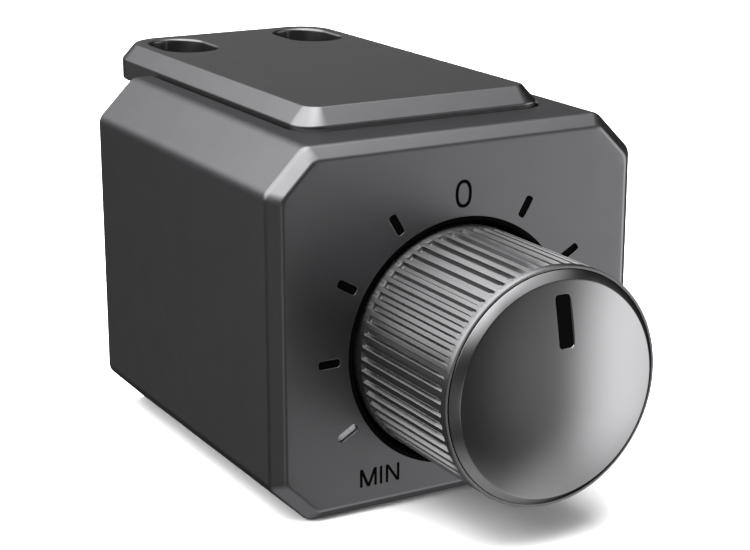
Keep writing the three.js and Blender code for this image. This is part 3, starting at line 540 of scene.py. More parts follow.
def surface(
    name,
    colour,
    metallic,
    roughness,
    grain=0.15,
    grain_height=0.004,
    mottle=0.12,
    rough_spread=0.05,
    edge_highlight=0.0,
    edge_highlight_radius=0.15,
    lay=None,
    coat=0.0,
    pattern=None,
    brushed=0.0,
    edge_tint=1.0,
    gloss=0.5,
):
    """A material with cloudy colour, uneven roughness, a fine grain bump and, where asked, edges
    painted lighter as a highlight and made smoother. `lay` stretches the grain: "rings" round
    the knob axis, or an (x, y, z) stretch.
    `brushed` stretches reflections along Y. A low `edge_tint` dims them at grazing angles."""
    material = bpy.data.materials.new(name)
    material.use_nodes = True
    nodes = Nodes(material.node_tree)
    place = nodes.add("TexCoord").outputs["Object"]
    clouds = nodes.noise(place, 4.0, 4.0, 0.55)
    patches = nodes.noise(place, 1.1, 3.0)

    if lay == "rings":
        inputs = {"W": axis_distance(nodes, place), "Scale": 1 / (grain * MM), "Detail": 2.0}
        fine = nodes.add("TexNoise", inputs, noise_dimensions="1D").outputs[0]
    else:
        stretched = nodes.add("Mapping", {"Vector": place, "Scale": lay or (1, 1, 1)}).outputs[0]
        fine = nodes.noise(stretched, grain, 2.0, 0.6)

    tone = mixed(nodes, clouds, shaded(colour, 1 - mottle), shaded(colour, 1 + mottle))
    if pattern:
        tone = pattern(nodes, place, tone)
    dull = nodes.spread(patches, roughness - rough_spread, roughness + rough_spread)
    # Edges get a painted highlight: their colour is lightened and their roughness is lowered.
    if edge_highlight > 0:
        share = painted_edge_highlight(nodes, patches, edge_highlight, edge_highlight_radius)
        tone = mixed(nodes, share, tone, shaded(colour, EDGE_HIGHLIGHT_GAIN))
        dull = nodes.math("SUBTRACT", dull, nodes.math("MULTIPLY", share, EDGE_POLISH))
    bump = nodes.add("Bump", {"Strength": 1.0, "Distance": grain_height * MM, "Height": fine})
    body = nodes.add(
        "BsdfPrincipled",
        {
            "Base Color": tone,
            "Metallic": metallic,
            "Roughness": dull,
            "Normal": bump.outputs[0],
            "Coat Weight": coat,
            "Specular Tint": rgb(edge_tint),
            "Specular IOR Level": gloss,
        },
    )
    if brushed:
        body.inputs["Anisotropic"].default_value = brushed
        along_y = nodes.add("CombineXYZ", {0: 0.0, 1: 1.0, 2: 0.0}).outputs[0]
        nodes.tree.links.new(along_y, body.inputs["Tangent"])
    output = nodes.add("OutputMaterial", {"Surface": body.outputs[0]})
    output.is_active_output = True
    return material


def trace_pattern(nodes, place, tone):
    """Patches of parallel copper tracks, level or upright, under the board's solder mask."""
    parts = nodes.add("SeparateXYZ", {0: place}).outputs
    across, up = parts[0], parts[2]
    per_patch = (1 / (TRACK_PATCH * MM),) * 3
    patch = nodes.add("VectorMath", {0: place, 1: per_patch}, operation="MULTIPLY").outputs[0]
    cell = nodes.add("VectorMath", {0: patch}, operation="FLOOR").outputs[0]
    chance = nodes.add("TexWhiteNoise", {"Vector": cell}).outputs["Value"]
    tracks = []
    for place_along, low, high in ((across, 0.15, 0.5), (up, 0.5, 0.85)):
        stripe = nodes.math("FRACT", nodes.math("MULTIPLY", place_along, 1 / (TRACK_PITCH * MM)))
        above = nodes.math("GREATER_THAN", chance, low)
        here = nodes.math("MULTIPLY", above, nodes.math("LESS_THAN", chance, high))
        tracks.append(nodes.math("MULTIPLY", nodes.math("GREATER_THAN", stripe, 0.6), here))
    return mixed(nodes, nodes.math("ADD", *tracks), tone, TRACK_COLOUR)


def fibre_pattern(nodes, place, tone):
    """Short paper fibres in a phenolic sheet."""
    stretched = nodes.add("Mapping", {"Vector": place, "Scale": (1, 1, 0.15)}).outputs[0]
    fibres = nodes.math("GREATER_THAN", nodes.noise(stretched, 0.25, 1.0), 0.62)
    return mixed(nodes, nodes.math("MULTIPLY", fibres, 0.35), tone, FIBRE_COLOUR)


SMOOTH_METAL = {"metallic": 1.0, "mottle": 0.06, "rough_spread": 0.03}
# The edge setting of these finishes paints their edges lighter, as a highlight.
HOUSING_METAL = surface(
    "gunmetal_cast",
    rgb(0.15, (1, 1, 1.04)),
    **SMOOTH_METAL,
    roughness=0.36,
    grain=0.16,
    grain_height=0.0035,
    edge_highlight=0.05,
    edge_tint=0.3,
)
PLATE_METAL = surface(
    "gunmetal_plate",
    rgb(0.15, (1, 1, 1.03)),
    **SMOOTH_METAL,
    roughness=0.33,
    grain=0.13,
    grain_height=0.003,
    edge_highlight=0.15,
    edge_tint=0.45,
)
SKIRT_METAL = surface(
    "skirt_turned",
    rgb(0.2, (1, 1, 1.02)),
    **SMOOTH_METAL,
    roughness=0.42,
    grain=0.12,
    grain_height=0.001,
    edge_highlight=0.2,
    edge_highlight_radius=0.06,
    brushed=0.85,
    edge_tint=0.2,
)
CAP_METAL = surface(
    "cap_satin",
    rgb(0.22, (1, 1, 1.02)),
    metallic=1.0,
    roughness=0.22,
    grain=0.07,
    grain_height=0.0005,
    mottle=0.04,
    rough_spread=0.02,
    lay="rings",
    edge_tint=0.15,
)
# The plain ones give, after their colour: metallic, roughness, size and height of the grain,
# mottle and, for some, the spread of the roughness.
BLACK_PLASTIC = surface("black_plastic", rgb(0.012), 0.0, 0.5, 0.12, 0.004, 0.2)
BLACK_INK = surface("black_ink", rgb(0.0006), 0.0, 0.75, 0.08, 0.001, 0.2, gloss=0.03)
# The well's cup is a black liner, made darker and far less reflective than black plastic so that it
# paints the shade in the deep well.
WELL_BLACK_SHADE = surface("well_black_painted_shade", rgb(0.0006), 0.0, 0.75, 0.1, 0.002, 0.2, gloss=0.03)
GREY_PLASTIC = surface(
    "grey_plastic", rgb(0.045, (1, 1, 1.05)), 0.0, 0.5, 0.2, 0.006, 0.12, edge_highlight=0.15
)
PALE_LENS = surface("pale_lens", rgb(0.3, (1, 1, 1.03)), 0.0, 0.35, 0.3, 0.001, 0.08)
ZINC_STEEL = surface(
    "zinc_steel",
    rgb(0.52, (1, 1, 0.98)),
    metallic=1.0,
    roughness=0.3,
    grain=0.1,
    grain_height=0.001,
    mottle=0.15,
    rough_spread=0.08,
    edge_highlight=0.3,
    edge_highlight_radius=0.08,
)
BRASS = surface("brass", (0.62, 0.43, 0.16, 1), 1.0, 0.28, 0.1, 0.001, 0.2, 0.08)
RUBBER = surface("rubber", rgb(0.02), 0.0, 0.8, 0.1, 0.006, 0.25)
BOARD_LAMINATE = surface(
    "board_laminate",
    (0.01, 0.09, 0.03, 1),
    metallic=0.0,
    roughness=0.35,
    grain=0.4,
    grain_height=0.002,
    mottle=0.15,
    coat=0.3,
    pattern=trace_pattern,
)
PHENOLIC = surface(
    "phenolic", (0.16, 0.07, 0.025, 1), 0.0, 0.6, 0.15, 0.004, 0.2, pattern=fibre_pattern
)
CHIP_EPOXY = surface("chip_epoxy", rgb(0.018), 0.0, 0.55, 0.08, 0.003, 0.15)
CAN_ALUMINIUM = surface("can_aluminium", rgb(0.72), 1.0, 0.3, 0.12, 0.001, 0.06, lay=(1, 0.05, 1))

# ------------------------------------------------------------------ housing and plate


def lip_levels(lip, depth, steps=4):
    """(growth, y) levels of a cutter with a rounded mouth of radius `lip` at the front face."""
    levels = [(lip, MOUTH)]
    for i in range(steps):
        angle = math.pi / 2 * (i + 0.25) / (steps - 0.5)
        levels.append((lip * (1 - math.sin(angle)), lip * (1 - math.cos(angle))))
    levels.append((0, depth))
    return levels


def mark_outline(grow, corner):
    half = MARK_WIDTH / 2 + grow
    low = KNOB_Z + MARK_INNER - grow
    high = KNOB_Z + MARK_OUTER + grow
    return rectangle(-half, low, half, high, min(corner + grow, half * 0.999), 6)


def mark_shape(mesh, degrees, levels, corner):
    before = len(mesh.verts)
    loft(mesh, [at_y(mark_outline(grow, corner), y) for grow, y in levels])
    mesh.verts.ensure_lookup_table()
    rotate_about_knob(mesh, mesh.verts[before:], degrees)


def oval(width, height, inset):
    """A slightly squared oval, centred in a box of the given size and shrunk by `inset`."""
    power = 2 / OVAL_POWER
    points = []
    for i in range(OVAL_POINTS):
        angle = 2 * math.pi * i / OVAL_POINTS
        across, up = math.cos(angle), math.sin(angle)
        x = math.copysign(abs(across) ** power, across) * (width / 2 - inset)
        z = math.copysign(abs(up) ** power, up) * (height / 2 - inset)
        points.append((width / 2 + x, height / 2 + z))
    return points


def glyph_loops(letter, x, z, width, height):
    """Outer and inner loops of a plain letter whose lower left corner is (x, z)."""
    w, h, s = width, height, STROKE
    d = 1.15 * s  # width of a slanting stroke, measured level
    if letter == "0":
        loops = [oval(w, h, 0), oval(w, h, ZERO_STROKE)]
    elif letter == "I":
        loops = [[(0, 0), (s, 0), (s, h), (0, h)]]
    elif letter == "N":
        k = h * s / (w - d)
        left = [(s, h - k), (s, 0), (0, 0), (0, h), (d, h)]
        loops = [left + [(w - px, h - pz) for px, pz in left]]
    elif letter == "M":
        slope = h / (w / 2 - d / 2)
        left = [(w / 2 - d / 2, 0), (s, h - slope * s), (s, 0), (0, 0), (0, h), (d, h)]
        right = [(w - px, pz) for px, pz in reversed(left)]
        loops = [left + [(w / 2, slope * d / 2)] + right]
    elif letter == "X":
        q = h * d / 2 / (w - d)
        side = [(d, 0), (0, 0), (w / 2 - d / 2, h / 2), (0, h), (d, h), (w / 2, h / 2 + q)]
        loops = [side + [(w - px, h - pz) for px, pz in side]]
    else:
        bridge = 0.3 * h
        top = bridge + s
        lean = (w / 2 - d / 2) / h
        low_in, high_in = d + lean * bridge, d + lean * top
        foot = [(w - d, 0), (w - low_in, bridge), (low_in, bridge), (d, 0)]
        outer = [(0, 0), (w / 2 - d / 2, h), (w / 2 + d / 2, h), (w, 0)] + foot
        peak = (w / 2 - d) / lean
        loops = [outer, [(high_in, top), (w - high_in, top), (w / 2, peak)]]
    return [[Vector((x + p[0], z + p[1])) for p in loop] for loop in loops]


def legend_loops(word):
    """All letters of a legend, each as a list of loops."""
    if word == "0":
        left, foot = ZERO_X - ZERO_WIDTH / 2, ZERO_Z - ZERO_HEIGHT / 2
        return [glyph_loops("0", left, foot, ZERO_WIDTH, ZERO_HEIGHT)]
    letters = []
    for letter, gap, width in LEGENDS[word]:
        left = LEGEND_LEFT[word] + gap
        letters.append(glyph_loops(letter, left, LEGEND_FOOT, width, LETTER_HEIGHT))
    return letters


def housing_blank():
    levels = [
        (RIM_BEVEL, 0, 0.7),
        (0, RIM_BEVEL, 0.8),
        (0, DEPTH - REAR_BEVEL, 0.4),
        (REAR_BEVEL, DEPTH, 0.3),
        (REAR_BEVEL + 2, DEPTH, 0),
    ]
    start = (RIM_BEVEL + 1, 0, 0)
    profile = rounded([start, *levels], 6, closed=False)
    return skin([at_y(housing_outline(p.x), p.y) for p in profile])


def housing_hollows():
    mesh = bmesh.new()
    inner = housing_outline(WALL, CAVITY_TOP, 1)
    seat = housing_outline(COVER_INSET, COVER_TOP, 1)
    steps = [(inner, WALL), (inner, GASKET_FRONT), (seat, GASKET_FRONT), (seat, DEPTH + PAST)]
    loft(mesh, [at_y(outline, y) for outline, y in steps])
    lip = 0.12
    mouth = (PLATE_GAP + 2 * lip, HEIGHT + lip)
    levels = [(PLATE_GAP, PLATE_BOTTOM), (PLATE_GAP, HEIGHT - lip), mouth]
    loft(mesh, [at_z(plate_outline(grow), z) for grow, z in levels])
    return temporary(mesh)


def rod(radius, start, end):
    """Profile of a plain round rod along Y."""
    return [(0, start), (radius, start), (radius, end), (0, end)]


def housing_posts():
    """The well's tube, the board's posts and the rear cover's bosses, all rooted in the walls."""
    root = WALL / 2
    tube = rod(LINER_RADIUS + WELL_WALL, root, POT_FRONT)
    foot = [(POST_FOOT_RADIUS, root), (POST_FOOT_RADIUS, WALL + 0.2), (POST_RADIUS, WALL + 1.2)]
    post = [(0, root), *foot, (POST_RADIUS, BOARD_FRONT), (0, BOARD_FRONT)]
    mesh = bmesh.new()
    turn(mesh, tube, 96, centre=(0, KNOB_Z))
    for side in (-1, 1):
        for z in POST_Z:
            turn(mesh, post, 32, centre=(side * POST_X, z))
        for z in BOSS_Z:
            turn(mesh, rod(BOSS_RADIUS, BOSS_FRONT, COVER_FRONT), 32, centre=(side * BOSS_X, z))
    return temporary(mesh)


def screw_hole(radius, side, y, points=24):
    """Outline of a plate screw's hole, seen from above."""
    return [Vector((p.x, y + p.y)) for p in circle(radius, side * PLATE_SCREW_X, 0, points)]


def housing_holes():
    mesh = bmesh.new()
    radius = LINER_RADIUS + WELL_PLAY
    well = [(radius + grow, y) for grow, y in lip_levels(MOUTH_LIP, WELL_DEPTH)]
    bore = [(BUSHING_HOLE, WELL_DEPTH), (BUSHING_HOLE, POT_FRONT + PAST), (0, POT_FRONT + PAST)]
    turn(mesh, [(0, MOUTH), *well, *bore], 144, centre=(0, KNOB_Z))
    post_pilot = rod(POST_PILOT, BOARD_FRONT - POST_PILOT_DEPTH, BOARD_FRONT + PAST)
    boss_pilot = rod(BOSS_PILOT, BOSS_FRONT + 1, COVER_FRONT + PAST)
    for side in (-1, 1):
        for z in POST_Z:
            turn(mesh, post_pilot, 24, centre=(side * POST_X, z))
        for z in BOSS_Z:
            turn(mesh, boss_pilot, 24, centre=(side * BOSS_X, z))
        for y in PLATE_SCREW_Y:
            hole = screw_hole(PLATE_SCREW_CLEARANCE, side, y)
            loft(mesh, [at_z(hole, CAVITY_TOP - PAST), at_z(hole, PLATE_BOTTOM + PAST)])
    for angle in MARK_ANGLES:
        mark_shape(mesh, angle, lip_levels(MOUTH_LIP, MARK_DEPTH), MARK_CORNER)
    mark_shape(mesh, STATUS_ANGLE, lip_levels(MOUTH_LIP, POT_FRONT + PAST), STATUS_CORNER)
    for word in LEGEND_PIECES:
        for loops in legend_loops(word):
            prism(mesh, loops, MOUTH, LEGEND_DEPTH)
    return temporary(mesh)


def make_housing():
    shell = carve(housing_blank(), housing_hollows())
    carve(shell, housing_posts(), "UNION", crossing=True)
    carve(shell, housing_holes())
    piece("cast_housing", shell, HOUSING_METAL, "housing_body", ["housing"])


def plate_blank():
    edge = 0.2
    corners = [
        (1.5, PLATE_BOTTOM, 0),
        (0, PLATE_BOTTOM, edge),
        (0, PLATE_EDGE, 0.35),
        (PLATE_BEVEL, PLATE_TOP, 0.3),
        (PLATE_BEVEL + 1, PLATE_TOP, 0),
    ]
    profile = rounded(corners, 5, closed=False)
    return skin([at_z(plate_outline(-p.x), p.y) for p in profile])


def plate_holes():
    """The two slots, with softened edges, and the blind holes for the plate's screws."""
    mesh = bmesh.new()
    levels = [(grow, PLATE_TOP - depth) for grow, depth in SLOT_MOUTH]
    levels += [(0, PLATE_BOTTOM + 0.2), (0.2, PLATE_BOTTOM), (0.2, PLATE_BOTTOM - PAST)]
    for side in (-1, 1):
        place = Vector((side * SLOT_X, SLOT_Y))
        loft(mesh, [at_z([p + place for p in slot_outline(grow)], z) for grow, z in levels])
        for y in PLATE_SCREW_Y:
            hole = screw_hole(PLATE_PILOT, side, y)
            bottom, top = PLATE_BOTTOM - PAST, PLATE_BOTTOM + PLATE_PILOT_DEPTH
            loft(mesh, [at_z(hole, bottom), at_z(hole, top)])
    return temporary(mesh)


def make_mounting_plate():
    plate = carve(plate_blank(), plate_holes())
    piece("slotted_plate", plate, PLATE_METAL, "housing_body", ["mounting_plate"])


def make_well_cup():
    inner = LINER_RADIUS - LINER
    floor = WELL_DEPTH - LINER
    corners = [
        (BUSHING_HOLE, floor, 0),
        (inner, floor, 0.4),
        (inner, WELL_LIP, 0.2),
        (LINER_RADIUS, WELL_LIP, 0.03),
        (LINER_RADIUS, WELL_DEPTH, 0.1),
        (BUSHING_HOLE, WELL_DEPTH, 0),
    ]
    cup = spun([tuple(p) for p in rounded(corners, 5)], 144)
    # The cup's finish is partly its own black and partly painted shade of the well.
    piece("well_cup", cup, WELL_BLACK_SHADE, "housing_body", ["well_liner"], KNOB_ORIGIN)


def mark_bar(degrees, sunk, rear, corner):
    """A bar with a small bevel round its face, which lies `sunk` below the front face."""
    mesh = bmesh.new()
    levels = [(-MARK_EDGE, sunk), (0, sunk + MARK_EDGE), (0, rear)]
    mark_shape(mesh, degrees, levels, corner)
    return temporary(mesh)


def make_dial():
    for i, angle in enumerate(MARK_ANGLES):
        mark = mark_bar(angle, MARK_SUNK, MARK_DEPTH - FLOOR_GAP, MARK_CORNER)
        name = f"dial_mark_{i + 1}"
        piece(f"{name}_bar", mark, BLACK_INK, "housing_body", [name])
    rear = span("status_light_pipe", 1, FRONT_FACE)[1]
    window = mark_bar(STATUS_ANGLE, STATUS_SUNK, rear, STATUS_CORNER)
    piece("status_window", window, PALE_LENS, "housing_body", ["status_light_pipe"])
    for word, name in LEGEND_PIECES.items():
        mesh = bmesh.new()
        for loops in legend_loops(word):
            prism(mesh, loops, LEGEND_SUNK, LEGEND_DEPTH - FLOOR_GAP)
        piece(name, temporary(mesh), BLACK_INK, "housing_body")


# ------------------------------------------------------------------ knob


def rib_angles():
    """Angles of the skirt's columns: each pocket has its floor, walls and rounded lips."""
    half = POCKET_WIDTH / 2
    offsets = [half - inside for inside, share in POCKET_STEPS]
    columns = sorted([-x for x in offsets] + offsets + [0.0])
    pitch = 2 * math.pi / RIB_COUNT
    angles = []
    for i in range(RIB_COUNT):
        centre = (i + 0.5) * pitch
        angles += [centre + x / SKIRT_RADIUS for x in columns]
        angles.append(centre + pitch / 2)
    return angles


def pocket_share(distance, half, wall):
    """1 on a pocket's floor and 0 outside it, for a distance from its middle."""
    inside = half - distance
    if inside <= wall[0][0]:
        return 0.0
    for (x0, share0), (x1, share1) in zip(wall, wall[1:]):
        if inside <= x1:
            return share0 + (share1 - share0) * (inside - x0) / (x1 - x0)
    return 1.0


def ribbed(radius, y, angle):
    if radius < SKIRT_RADIUS - 1e-6:
        return radius
    pitch = 2 * math.pi / RIB_COUNT
    around = abs((angle % pitch) - pitch / 2) * SKIRT_RADIUS
    along = abs(y - (POCKET_FRONT + POCKET_REAR) / 2)
    side_share = pocket_share(around, POCKET_WIDTH / 2, POCKET_STEPS)
    end_share = pocket_share(along, (POCKET_REAR - POCKET_FRONT) / 2, END_STEPS)
    return radius - POCKET_DEPTH * side_share * end_share


def skirt_levels():
    """Places along Y of the skirt's outer rings, from its front edge to its rear edge."""
    insides = [inside for inside, share in END_STEPS]
    first, last = POCKET_FRONT + insides[-1], POCKET_REAR - insides[-1]
    count = 8
    levels = [SKIRT_FRONT + 0.15]
    levels += [POCKET_FRONT + inside for inside in insides]
    levels += [first + (last - first) * i / count for i in range(1, count)]
    levels += [POCKET_REAR - inside for inside in reversed(insides)]
    levels.append(SKIRT_REAR - 0.15)
    return levels


def skirt_body():
    seat_radius = CAP_RADIUS + 0.04
    web = CAP_SEAT + 1.3
    inner = SKIRT_RADIUS - SKIRT_WALL
    outside = [(SKIRT_RADIUS, y) for y in skirt_levels()]
    profile = [
        (0, CAP_SEAT),
        (seat_radius, CAP_SEAT),
        (seat_radius, SKIRT_FRONT + 0.03),
        (seat_radius + 0.03, SKIRT_FRONT),
        (SKIRT_RADIUS - 0.11, SKIRT_FRONT),
        (SKIRT_RADIUS - 0.03, SKIRT_FRONT + 0.07),
        *outside,
        (SKIRT_RADIUS - 0.12, SKIRT_REAR - 0.03),
        (SKIRT_RADIUS - 0.2, SKIRT_REAR),
        (inner + 0.2, SKIRT_REAR),
        (inner, SKIRT_REAR - 0.2),
        (inner, web + 0.4),
        (inner - 0.4, web),
        (HUB_RADIUS + 0.3, web),
        (HUB_RADIUS, web + 0.3),
        (HUB_RADIUS, HUB_REAR - 0.3),
        (HUB_RADIUS - 0.3, HUB_REAR),
        (0, HUB_REAR),
    ]
    return spun(profile, rib_angles(), ribbed)


def d_outline(radius, flat):
    """A round section with a flat on its upper side."""
    edge = math.acos(flat / radius)
    count = 36
    angles = [edge + (2 * math.pi - 2 * edge) * i / count for i in range(count + 1)]
    return [Vector((radius * math.sin(a), radius * math.cos(a))) for a in angles]


def make_skirt():
    shaft = d_outline(SHAFT_RADIUS + SHAFT_PLAY, SHAFT_FLAT + SHAFT_PLAY)
    clip = rectangle(-CLIP_HALF, CLIP_LOW, CLIP_HALF, CLIP_HIGH, 0.1, 3)
    skirt = carve(skirt_body(), bar(shaft, SHAFT_FRONT - SHAFT_PLAY, HUB_REAR + PAST))
    carve(skirt, bar(clip, CLIP_FRONT, HUB_REAR + PAST))
    piece("ribbed_skirt", skirt, SKIRT_METAL, "knob", ["knob_skirt"], KNOB_ORIGIN)


def dome_y(radius):
    """Height of the cap's domed face at a distance from the axis."""
    return CAP_APEX + DOME_RADIUS - math.sqrt(DOME_RADIUS**2 - radius**2)


def on_dome(outline, depth):
    """An outline laid on the cap's dome, or `depth` below it."""
    return [Vector((p.x, dome_y(p.length) + depth, p.y)) for p in outline]


def pointer_outline(grow):
    low, high = POINTER_INNER - grow, POINTER_OUTER + grow
    half = POINTER_HALF + grow
    return rectangle(-half, low, half, high, POINTER_CORNER + grow, 8)


def cap_body():
    inside = CAP_FACE_RADIUS - CAP_RIM
    dome = []
    for i in range(DOME_STEPS):
        radius = inside * i / DOME_STEPS
        dome.append((radius, dome_y(radius)))
    edges = [
        (inside, dome_y(inside), 0),
        (CAP_FACE_RADIUS, CAP_FACE, 0.3),
        (CAP_RADIUS, CAP_EDGE, 0.05),
        (CAP_RADIUS, CAP_SEAT, 0.2),
        (0, CAP_SEAT, 0),
    ]
    return spun(dome + [tuple(p) for p in rounded(edges, 5, closed=False)], 216)


def pointer_rings(steps, grow, floor):
    """Rings of the pointer or its pocket: (growth, depth) steps below the dome, then the floor."""
    rings = [on_dome(pointer_outline(step_grow), depth) for step_grow, depth in steps]
    rings.append(at_y(pointer_outline(grow), floor))
    return rings


def make_cap():
    pocket = skin(pointer_rings(POINTER_POCKET, 0, POINTER_FLOOR))
    cap = carve(cap_body(), pocket)
    piece("domed_cap", cap, CAP_METAL, "knob", ["knob_cap"], KNOB_ORIGIN, sharp=30)
    inlay = skin(pointer_rings(POINTER_BAR, -FLOOR_GAP, POINTER_FLOOR - FLOOR_GAP))
    piece("pointer_bar", inlay, BLACK_INK, "knob", ["pointer_inlay"], KNOB_ORIGIN)


# ------------------------------------------------------------------ rear, screws and spring


def rear_blank():
    inset = WIDTH / 2 - COVER_HALF
    corners = [
        (inset + 2, COVER_FRONT, 0),
        (inset, COVER_FRONT, 0.1),
        (inset, DEPTH, 0.3),
        (inset + 2, DEPTH, 0),
    ]
    profile = rounded(corners, 5, closed=False)
    return skin([at_y(housing_outline(p.x, COVER_HIGH + inset - p.x, 1), p.y) for p in profile])


def rear_holes():
    """The socket's opening and the stepped holes that the cover screws sit in."""
    front, rear = COVER_FRONT - PAST, DEPTH + PAST
    seat = COVER_FRONT + SCREW_SINK
    opening = ((0.3, front), (0.3, DEPTH - 0.2), (0.5, DEPTH), (0.5, rear))
    shank = [(0, front), (SCREW_CLEARANCE, front), (SCREW_CLEARANCE, seat)]
    head = [(SCREW_SINK_RADIUS, seat), (SCREW_SINK_RADIUS, DEPTH - 0.15)]
    mouth = SCREW_SINK_RADIUS + 0.15
    mesh = bmesh.new()
    loft(mesh, [at_y(socket_outline(grow), y) for grow, y in opening])
    for side in (-1, 1):
        for z in BOSS_Z:
            profile = [*shank, *head, (mouth, DEPTH), (mouth, rear), (0, rear)]
            turn(mesh, profile, 48, centre=(side * BOSS_X, z))
    return temporary(mesh)


def make_rear_panel():
    panel = carve(rear_blank(), rear_holes())
    piece("rear_panel", panel, GREY_PLASTIC, "housing_body", ["rear_cover"])


def socket_outline(grow, radius=0.4):
    half_x, half_z = SOCKET_HALF_X + grow, SOCKET_HALF_Z + grow
    return rectangle(-half_x, SOCKET_Z - half_z, half_x, SOCKET_Z + half_z, max(radius + grow, 0.1))


def socket_block():
    edge = 0.15
    front = [(-edge, SOCKET_FRONT), (0, SOCKET_FRONT + edge)]
    rear = [(0, SOCKET_REAR - edge), (-edge, SOCKET_REAR)]
    return skin([at_y(socket_outline(grow), y) for grow, y in front + rear])


def make_socket():
    floor = SOCKET_FRONT + SOCKET_FLOOR
    mouth = (0.2 - SOCKET_WALL, SOCKET_REAR + 0.1)
    levels = [(-SOCKET_WALL, floor), (-SOCKET_WALL, SOCKET_REAR - 0.25), mouth]
    hollow = skin([at_y(socket_outline(grow, 1.2), y) for grow, y in levels])
    shell = carve(socket_block(), hollow)
    key = rectangle(-KEYWAY_HALF, SOCKET_Z, KEYWAY_HALF, SOCKET_Z + KEYWAY_RISE, 0.1)
    carve(shell, skin([at_y(key, floor), at_y(key, SOCKET_REAR + 0.5)]))
    holes = bmesh.new()
    for number in range(1, PIN_COUNT + 1):
        outline = pin_outline(f"connector_pin_{number}", PIN_PLAY)
        loft(holes, [at_y(outline, SOCKET_FRONT - 0.5), at_y(outline, floor + 0.5)])
    carve(shell, temporary(holes))
    piece("socket_shell", shell, BLACK_PLASTIC, "housing_body", ["connector_socket"])


def pin_outline(node, grow):
    low_x, high_x = span(node, 0)
    low_z, high_z = span(node, 2)
    return rectangle(low_x - grow, low_z - grow, high_x + grow, high_z + grow, 0.05, 3)


def make_pins():
    """Flat blades with a softened front end and a tapered tip."""
    for number in range(1, PIN_COUNT + 1):
        node = f"connector_pin_{number}"
        start, end = span(node, 1, FRONT_FACE)
        front = [(-0.12, start), (0, start + 0.25)]
        tip = [(0, end - 0.6), (-0.16, end - 0.05), (-0.2, end)]
        blade = skin([at_y(pin_outline(node, grow), y) for grow, y in front + tip])
        piece(f"pin_blade_{number}", blade, BRASS, "housing_body", [node])


def screw_profile(head, rise, shank, length):
    """Half section of a button-head screw with a grooved shank; its head reaches to y = -rise."""
    crown = [
        (0, -rise, 0),
        (0.8 * head, -rise, 0.3),
        (head, -0.6 * rise, 0.3),
        (head, 0, 0.1),
        (shank, 0, 0.05),
        (shank, THREAD_START, 0),
    ]
    profile = [tuple(p) for p in rounded(crown, 4, closed=False)]
    y = THREAD_START
    while y + THREAD_PITCH < length - 0.3:
        profile += [(shank - THREAD_DEPTH, y + THREAD_PITCH / 2), (shank, y + THREAD_PITCH)]
        y += THREAD_PITCH
    return profile + [(shank - 0.3, length), (0, length)]


def hex_key(radius, rise):
    """Cutter of a hex socket with a bevelled mouth."""
    hexagon = [circle(radius + grow, points=6) for grow in (0.15, 0.15, 0, 0)]
    depths = (-rise - 0.5, -rise, -rise + 0.12, -0.4 * rise)
    return skin([at_y(outline, depth) for outline, depth in zip(hexagon, depths)])


def make_screw(node, kind):
    """A screw with its head where the CAD screw has it: below for the plate, else at the rear."""
    rise, shank = SCREW_SIZES[kind]
    low, high = cad_box(node)
    centre = (low + high) / 2
    if kind == "plate_screw":
        seat = Vector((centre.x, centre.y, low.z + rise))
        pose = Matrix.Rotation(math.pi / 2, 4, "X")
        length = high.z - seat.z
    else:
        seat = Vector((centre.x, high.y - rise, centre.z))
        pose = Matrix.Rotation(math.pi, 4, "Z")
        length = seat.y - low.y
    head = (high.x - low.x) / 2
    screw = spun(screw_profile(head, rise, shank, length), 36)
    carve(screw, hex_key(HEX_SHARE * head, rise))
    screw.data.transform(pose)
    piece(f"{node}_hex", screw, ZINC_STEEL, "housing_body", [node], seat, sharp=30)


def make_spring():
    """A round-wire coil of the return spring."""
    coil_radius = SPRING_OUTSIDE - SPRING_WIRE
    start, end = SPRING_FRONT + SPRING_WIRE, SPRING_REAR - SPRING_WIRE
    steps = 32 * SPRING_COILS
    rings = []
    for i in range(steps + 1):
        share = i / steps
        angle = 2 * math.pi * SPRING_COILS * share
        outward = Vector((math.cos(angle), 0, math.sin(angle)))
        centre = outward * coil_radius + Vector((0, start + (end - start) * share, 0))
        section = circle(SPRING_WIRE, points=10)
        rings.append([centre + outward * p.y + Vector((0, p.x, 0)) for p in section])
    coil = skin(rings)
    piece("spring_coil", coil, ZINC_STEEL, "housing_body", ["return_spring"], KNOB_ORIGIN)
    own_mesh(coil)


make_housing()
make_mounting_plate()
make_well_cup()
make_dial()
make_skirt()
make_cap()
make_rear_panel()
make_socket()
make_pins()
for kind in SCREW_SIZES:
    for number in range(1, SCREW_COUNT + 1):
        make_screw(f"{kind}_{number}", kind)
make_spring()

# ------------------------------------------------------------------ CAD pieces that stay

CAD_EDGE = 0.08  # bevel on the edges of the CAD pieces that still show
CAD_FINISHES = (  # a material and the nodes that it covers, by the start of their names
    (ZINC_STEEL, ("shaft_clip", "knob_shaft", "retaining_ring", "lock_washer", "pot_case")),
    (BRASS, ("pot_bushing", "bushing_nut", "pot_terminal", "wiper_contact")),
    (BLACK_PLASTIC, ("wiper_rotor", "switch_case")),
    (GREY_PLASTIC, ("switch_plunger",)),
    (RUBBER, ("rear_gasket",)),
    (PHENOLIC, ("pot_wafer",)),
    (BOARD_LAMINATE, ("main_board",)),
    (CHIP_EPOXY, ("mcu_chip", "accelerometer_chip", "power_transistor", "flyback_diode")),
    (CAN_ALUMINIUM, ("capacitor",)),
    (PALE_LENS, ("status_led",)),
)


